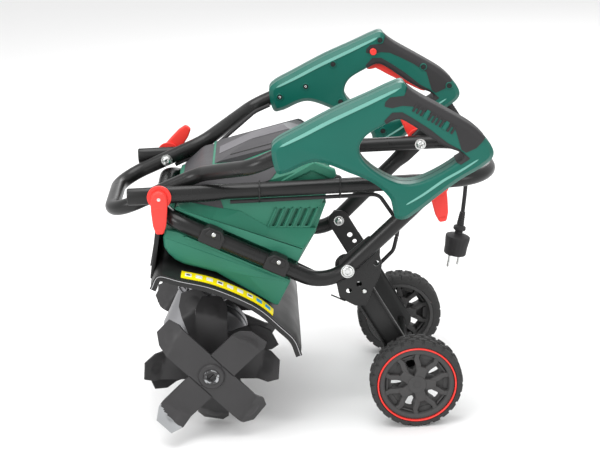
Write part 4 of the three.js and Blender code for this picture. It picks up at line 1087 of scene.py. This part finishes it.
class TILLER_OT_fender(MakesTiller, bpy.types.Operator):
    """Make the fender with its rolled rims, front shield and plain label strip"""

    bl_idname = "tiller.fender"
    bl_label = "Fender"

    def sheet(self, line, y0, y1, lift, thickness, columns=40):
        """The fender's line carried from y0 to y1, crowned so that its height falls towards the rims."""
        y = np.linspace(y0, y1, columns)
        normal = normals(line)
        normal *= np.sign(normal[:, 1].sum())
        fall = -3.5 * np.clip((np.abs(y) - 120) / 32, 0, 1) ** 2
        top = line[None] + normal[None] * (lift + fall[:, None, None])
        under = top - normal[None] * thickness
        loop = np.concatenate([top, under[:, ::-1]], axis=1)
        rings = np.stack([loop[..., 0], np.repeat(y[:, None], loop.shape[1], 1), loop[..., 1]], -1)
        return skin(rings)

    def execute(self, context):
        line = FENDER_LINE
        normal = normals(line)
        normal *= np.sign(normal[:, 1].sum())
        parts = [(self.sheet(line, -151, 151, 0.0, 3.0), "black_satin")]
        for side in (LEFT, RIGHT):
            rim = np.vstack([line, (line - normal * 9)[::-1]])
            parts.append((on_side(side, plate(anticlockwise(rim), -152, -149.4, 0.5, 2)), "black_satin"))
            # A pale bead just inside each rim paints the highlight along the rim's edge.
            lowered = line - normal * 2.2
            bead = tube(level(lowered, -151.2), 0.95, 8)
            parts.append((on_side(side, bead), "bright_edge"))
        shield = plate(fillet([[-152, 213], [-147, 213], [-136, 284], [-143, 284]], 1.2, 3, closed=True),
                       -110, 110, 1.2)
        parts.append((shield, "black_satin"))
        for y in (-70, -35, 0, 35, 70):
            rib = plate([[-154.5, 218], [-148, 218], [-139, 278], [-143.5, 278]], y - 1.5, y + 1.5, 0.6, 2)
            parts.append((rib, "black_satin"))
        piece("fender_shell", "chassis", parts, ["fender"])
        inner = line[(line[:, 0] > -112) & (line[:, 0] < 20)]
        strip = [(self.sheet(inner, -138.5, -116.5, 0.8, 1.2, 12), "label_yellow")]
        length = np.concatenate([[0], np.cumsum(np.linalg.norm(np.diff(inner, axis=0), axis=1))])
        for k in range(9):
            centre = length[-1] * (0.07 + 0.107 * k)
            at = np.linspace(centre - 4.5, centre + 4.5, 6)
            patch = np.column_stack([np.interp(at, length, inner[:, 0]), np.interp(at, length, inner[:, 1])])
            name = "label_blue" if k > 6 else "label_white"
            strip.append((self.sheet(patch, -132.5, -122.5, 1.1, 0.8, 6), name))
            strip.append((self.sheet(patch[1:-1], -129.5, -125.5, 1.3, 0.6, 4),
                          "label_dark" if k % 3 == 0 else name))
        piece("label_strip", "chassis", strip)
        return {"FINISHED"}


class TILLER_OT_drive(MakesTiller, bpy.types.Operator):
    """Make the ribbed gear case and the clamps that hold the housing on the frame"""

    bl_idname = "tiller.drive"
    bl_label = "Gear case and clamps"

    def execute(self, context):
        worm = along(TINE, MOTOR_AXIS + 90, 42)
        axis = np.array([np.cos(np.radians(MOTOR_AXIS)), 0, np.sin(np.radians(MOTOR_AXIS))])
        base = np.array([worm[0], 0, worm[1]])
        neck = [[0.2, -17], [30, -17], [33, -15], [34, -12], [34, 44]]
        for k in range(6):
            h = 48 + 7 * k
            neck += [[34, h - 1.6], [36.6, h - 1.2], [36.6, h + 1.2], [34, h + 1.6]]
        neck = np.array([*neck, [34, 190], [0.2, 191]])
        boss = [[11.4, -44], [20, -44], [22, -42], [22.5, -30], [24, -25], [46, -24], [49, -22.5],
                [50, -20], [50, -2.2], [51.4, -2], [51.4, 2], [50, 2.2], [50, 20], [49, 22.5], [46, 24],
                [24, 25], [22.5, 30], [22, 42], [20, 44], [11.4, 44], [11.4, -44]]
        parts = [turned(neck, base, axis, 64), turned(boss, (TINE[0], 0, TINE[1]), sides=72)]
        head = [[0.2, 0], [5.6, 0], [6, -0.5], [6, -3], [0.2, -3.4]]
        for k in range(6):
            x, z = along(TINE, 60 * k + 15, 42)
            screw = turned(head, (x, -23.6, z), sides=20)
            parts += [screw, mirrored(screw)]
        corners = ((38, -1.2), (38, 1.2), (92, 1.2), (92, -1.2))
        for lean in (-1, 1):
            for off in (8, 17, 26):
                fin = [along(worm, MOTOR_AXIS, distance, lean * off + half) for distance, half in corners]
                reach = np.sqrt(37.5**2 - off**2)
                parts.append(plate(fin, -reach, reach, 0.7, 2))
        piece("gear_case", "chassis", [(part, "cast_metal") for part in parts],
              ["gearbox_left", "gearbox_right"])
        tilt = np.degrees(np.arctan(LOWER_SLOPE))
        for place, x in (("front", -66.0), ("rear", 22.0)):
            centre = np.array([x, lower_z(x)])
            at = lambda d, w: along(centre, tilt, d, w)
            pad = fillet([at(-17, -9.5), at(17, -9.5), at(17, 8), at(9, 15.5), at(-9, 15.5), at(-17, 8)],
                         2.5, 4, closed=True)
            seat = tube(np.array([[*np.insert(at(d, 0), 1, -112.0)] for d in (-40, 0, 40)]), 11.6, 32)
            clamp = carved(plate(pad, -126, -106.3, 2.0, 4), [seat])
            lug = fillet([at(-12, 3), at(12, 3), at(8, 13), at(-8, 13)], 2, 3, closed=True)
            lug = plate(lug, -128, -120, 1.4)
            head = bolt_head(*np.insert(at(0, 8.4), 1, -127.6), -1, 3.2, 1.6)
            finished = ((clamp, "black_satin"), (lug, "black_satin"), (head, "zinc_plate"))
            for side_name, side in SIDES.items():
                parts = [(on_side(side, part), name) for part, name in finished]
                piece(f"clamp_{place}_{side_name}", "chassis", parts, [f"frame_clamp_{place}_{side_name}"])
        return {"FINISHED"}


HANDLE_OUTLINE = flowing([
    [16, 414], [24, 427], [53, 443], [98, 467], [140, 486], [170, 500], [184, 504], [192, 496], [206, 486],
    [240, 467], [274, 447], [292, 431], [304, 415], [303, 402], [288, 389], [262, 373], [231, 349],
    [206, 329], [192, 320], [179, 322], [176, 333], [170, 350], [150, 369], [120, 383], [74, 399],
    [36, 385], [22, 386],
], 9, closed=True)
WINDOW_OUTLINE = flowing([
    [130, 418], [138, 434], [160, 448], [179, 457], [196, 450], [222, 432], [244, 419], [261, 412],
    [265, 404], [256, 397], [236, 384], [211, 372], [190, 369], [172, 374], [150, 387], [134, 403],
], 7, closed=True)


class TILLER_OT_handles(MakesTiller, bpy.types.Operator):
    """Make the D-shaped handles with their grips, ribs, screws, switch, trigger and lock button"""

    bl_idname = "tiller.handles"
    bl_label = "Handles"

    def window(self, half, flare, grow=0.0):
        """A cutter for the finger gap whose outline opens out near both faces by flare * (1 - sin a)."""
        outline = inset(anticlockwise(WINDOW_OUTLINE), -grow)
        a = np.linspace(0, np.pi / 2, 7)
        opens, depth = flare * (1 - np.sin(a)), flare * (1 - np.cos(a))
        front = [level(inset(outline, -s), -HANDLE_Y - half + d) for s, d in zip(opens, depth)]
        back = [level(inset(outline, -s), -HANDLE_Y + half - d) for s, d in zip(opens, depth)]
        return skin([level(inset(outline, -flare), -HANDLE_Y - half - 5), *front, *back[::-1],
                     level(inset(outline, -flare), -HANDLE_Y + half + 5)])

    def prism(self, outline, radius=3.0):
        """A cutter through the whole thickness of the left handle."""
        return plate(fillet(outline, radius, 4, closed=True), -HANDLE_Y - 31, -HANDLE_Y + 31, 0.05, 1)

    def other_face(self, surface):
        """The same surface on the left handle's other face, with its faces turned round to point
        outwards again."""
        return surface[0] * [1, -1, 1] - [0, 2 * HANDLE_Y, 0], [face[::-1] for face in surface[1]]

    def ridge(self, line, face, width=3.2, height=1.6):
        """A rib along a line: its section is a low triangle whose steep side is the lower one."""
        line = flowing(line, 6)
        normal = normals(line)
        taper = np.sin(np.linspace(0, np.pi, len(line))) ** 0.25
        section = [(width / 2, -1.5), (width / 2, 0.1), (-width / 2 + 0.7, height),
                   (-width / 2, height * 0.8), (-width / 2, -1.5)]
        rings = []
        for across, out in section:
            at = line + normal * across * taper[:, None]
            rings.append(np.column_stack([at[:, 0], face - out * taper, at[:, 1]]))
        return skin(np.stack(rings, 1))

    def execute(self, context):
        outline = anticlockwise(HANDLE_OUTLINE)
        solid = plate(outline, -188.5, -149.5, 6.5, 0)
        solid = carved(solid, [self.window(19.5, 5.5)])
        top_zone = self.prism([[162, 480], [168, 486], [186, 488], [190, 497], [194, 530], [330, 530],
                               [330, 440], [292, 430], [281, 418], [268, 412], [262, 416], [253, 444],
                               [233, 457], [213, 467], [197, 474], [184, 475], [171, 472], [161, 474]], 1.6)
        low_zone = self.prism([[161, 455], [171, 466], [184, 466.5], [197, 459], [220, 444], [244, 425],
                               [258, 417], [274, 404], [262, 396], [240, 405], [222, 425], [196, 443],
                               [179, 450], [166, 446]], 1.2)
        grip = plate(inset(outline, -0.55), -189.1, -148.9, 8.5, 7)
        grip = carved(grip, [self.window(20.1, 5.5, -0.7)])
        upper = carved(grip, [top_zone], "INTERSECT")
        lower = carved(grip, [low_zone], "INTERSECT")
        seam = plate(inset(outline, -0.25), -HANDLE_Y - 0.3, -HANDLE_Y + 0.3, 0.1, 1)
        seam = carved(seam, [plate(inset(anticlockwise(WINDOW_OUTLINE), 0.25), -175, -163, 0.05, 1)])
        green = [(solid, "green_gloss"), (seam, "black_satin")]
        # Short bars stand in a row on the upper soft zone, two of them in the hard shell's colour.
        pads = []
        for k in range(11):
            centre = np.array([201 + 5.0 * k, 473.4 - 3.0 * k])
            at = lambda d, w: along(centre, -31, d, w)
            half = 2.6 if k % 5 == 3 else 1.5
            bar = fillet([at(-half, -7), at(half, -7), at(half, 5), at(-half, 5)], 1.0, 2, closed=True)
            pads.append((plate(bar, -190.0, -186, 0.7, 2), "green_gloss" if k % 5 == 3 else "soft_grip"))
        top_rib = self.ridge([[26, 421], [58, 437], [92, 455], [140, 478], [181, 498]], -188.2, 4.6)
        low_rib = self.ridge([[190, 341], [214, 356], [240, 375], [262, 388], [286, 404]], -188.2, 3.6)
        screws = [(32, 407), (71, 423), (112, 457), (124, 399), (182, 493), (248, 452), (288, 423),
                  (189, 353)]
        rim = [[3.8, 0], [5.6, 0], [5.6, 0.9], [5.1, 1.6], [4.1, 1.6], [3.8, 0]]
        for side_name, side in SIDES.items():
            soft = [(on_side(side, part), "soft_grip") for part in (upper, lower)]
            parts = [(on_side(side, part), name) for part, name in green]
            # The ribs' pale green paints the highlight along the handles' top and lower edges.
            for part in (top_rib, low_rib):
                parts += [(on_side(side, face), "pale_rib") for face in (part, self.other_face(part))]
            for x, z in screws:
                ring = turned(rim, (x, -149.6, z), sides=32)
                # A black disc in each screw hole paints the shade inside the hole.
                well = turned([[0.2, 0], [4.3, 0], [4.3, 1.0], [0.2, 1.1]], (x, -149.6, z), sides=28)
                head = bolt_head(x, -148.6, z, 1, 1.9, 0.6)
                parts += [(on_side(side, ring), "green_gloss"), (on_side(side, well), "black_satin"),
                          (on_side(side, head), "zinc_plate" if x < 75 else "black_satin")]
            names = [f"handle_shell_{k}_{side_name}" for k in ("outer", "inner")]
            piece(f"handle_{side_name}", "handle_bar", parts, names, sharp=17)
            soft += [(on_side(side, part), name) for part, name in pads]
            piece(f"handle_grip_{side_name}", "handle_bar", soft, [f"grip_{side_name}"],
                  sharp=34)
        self.controls(context)
        return {"FINISHED"}

    def controls(self, context):
        line = flowing([[163, 449.5], [171, 453.4], [178, 456], [187, 452.5], [200, 445], [215, 436.6],
                        [246, 420], [254, 414.6]], 4)
        normal = normals(line)
        # The finger side stands out most where the first finger pulls, and runs back into the grip.
        share = np.linspace(0, 1, len(line))[:, None]
        depth = 3.0 + 5.5 * np.sin(np.pi * np.clip(share * 1.02, 0, 1)) ** 0.5 * (1.15 - 0.35 * share)
        bar = np.vstack([line - normal * depth, (line + normal * 2.8)[::-1]])
        piece("trigger_bar", "trigger", [(plate(bar, 161, 177, 2.0, 4), "red_gloss")], ["trigger"])
        carrier = fillet([[203, 470], [203, 458], [248, 434], [252, 440]], 2, 3, closed=True)
        piece("switch", "handle_bar", [(plate(carrier, 159.5, 178.5, 1.2), "black_satin")], ["switch_body"])
        radius = self.mm(context, "button")
        button = [[0.2, 11.6], [radius, 11.6], [radius, 1.2], [radius - 0.9, 0.2], [radius - 2.2, 0.4],
                  [0.2, 0.7]]
        piece("lock_button_cap", "lock_button", [(turned(button, (172, 144.3, 476), sides=32), "red_gloss")],
              ["lock_button"])


class TILLER_OT_cable(MakesTiller, bpy.types.Operator):
    """Make the motor cable's three stretches and its clips"""

    bl_idname = "tiller.cable"
    bl_label = "Motor cable"

    def execute(self, context):
        radius = self.mm(context, "motor_cable") / 2
        tube_radius = self.mm(context, "upper_tube")
        under_bar = lambda x: bar_z(x) - (tube_radius + radius + 0.6) / np.cos(np.arctan(BAR_SLOPE))
        under_middle = lambda x: middle_z(x) - tube_radius - radius - 1.8
        routes = {
            "upper": ("handle_bar", [[16, 135, bar_z(16) - 2], [-6, 135, bar_z(-6) - 2],
                                     [-66, 85.7, under_bar(-66)], [-124, 83.7, under_bar(-124)]], [20, 20]),
            "middle": ("middle_frame", [[-40, -100, under_middle(-40)], [163, -100, under_middle(163)],
                                        [192, -95, 286], [190, -92, 266]], [16, 20]),
            "lower": ("chassis", [[189.5, -91, 264], [186, -88, 244], [160, -78, 212], [118, -80, 200],
                                  [76, -82, 210], [44, -80, 226]], [20, 30, 40, 10]),
        }
        for key, (body, corners, radii) in routes.items():
            parts = [(tube(fillet(corners, radii, 10), radius, 16), "soft_grip")]
            if key == "middle":
                for x in (0.0, 110.0):
                    ring = np.linspace(0, 2 * np.pi, 40, endpoint=False)
                    line = np.column_stack([np.full(40, x), -100 + 12.2 * np.cos(ring),
                                            middle_z(x) - 2.4 + 14.6 * np.sin(ring)])
                    parts.append((tube(line, 1.1, 8, loop=True), "black_satin"))
            piece(f"cable_{key}", body, parts, [f"motor_cable_{key}"])
        return {"FINISHED"}


class TILLER_PT_panel(bpy.types.Panel):
    """Lists the settings and the operators that build the tiller"""

    bl_label = "Folding Tiller"
    bl_idname = "TILLER_PT_panel"
    bl_space_type = "VIEW_3D"
    bl_region_type = "UI"
    bl_category = "Tiller"

    def draw(self, context):
        for settings in (context.scene.tiller_colours, context.scene.tiller_sizes):
            for name in settings.bl_rna.properties.keys():
                if name not in ("rna_type", "name"):
                    self.layout.prop(settings, name)
        for step in STEPS:
            self.layout.operator(step.bl_idname)


STEPS = (
    TILLER_OT_finishes, TILLER_OT_stage, TILLER_OT_lead, TILLER_OT_tubes, TILLER_OT_wheels,
    TILLER_OT_carriage, TILLER_OT_bolts, TILLER_OT_levers, TILLER_OT_tines, TILLER_OT_housing,
    TILLER_OT_fender, TILLER_OT_drive, TILLER_OT_handles, TILLER_OT_cable,
)
CLASSES = (TillerColours, TillerSizes, *STEPS, TILLER_PT_panel)


def register():
    for kind in CLASSES:
        bpy.utils.register_class(kind)
    bpy.types.Scene.tiller_colours = PointerProperty(type=TillerColours)
    bpy.types.Scene.tiller_sizes = PointerProperty(type=TillerSizes)


def unregister():
    del bpy.types.Scene.tiller_sizes
    del bpy.types.Scene.tiller_colours
    for kind in reversed(CLASSES):
        bpy.utils.unregister_class(kind)


def main():
    register()
    for step in STEPS:
        if getattr(bpy.ops.tiller, step.bl_idname.split(".")[1])() != {"FINISHED"}:
            raise RuntimeError(f"{step.bl_label} didn't finish")


if __name__ == "__main__":
    main()
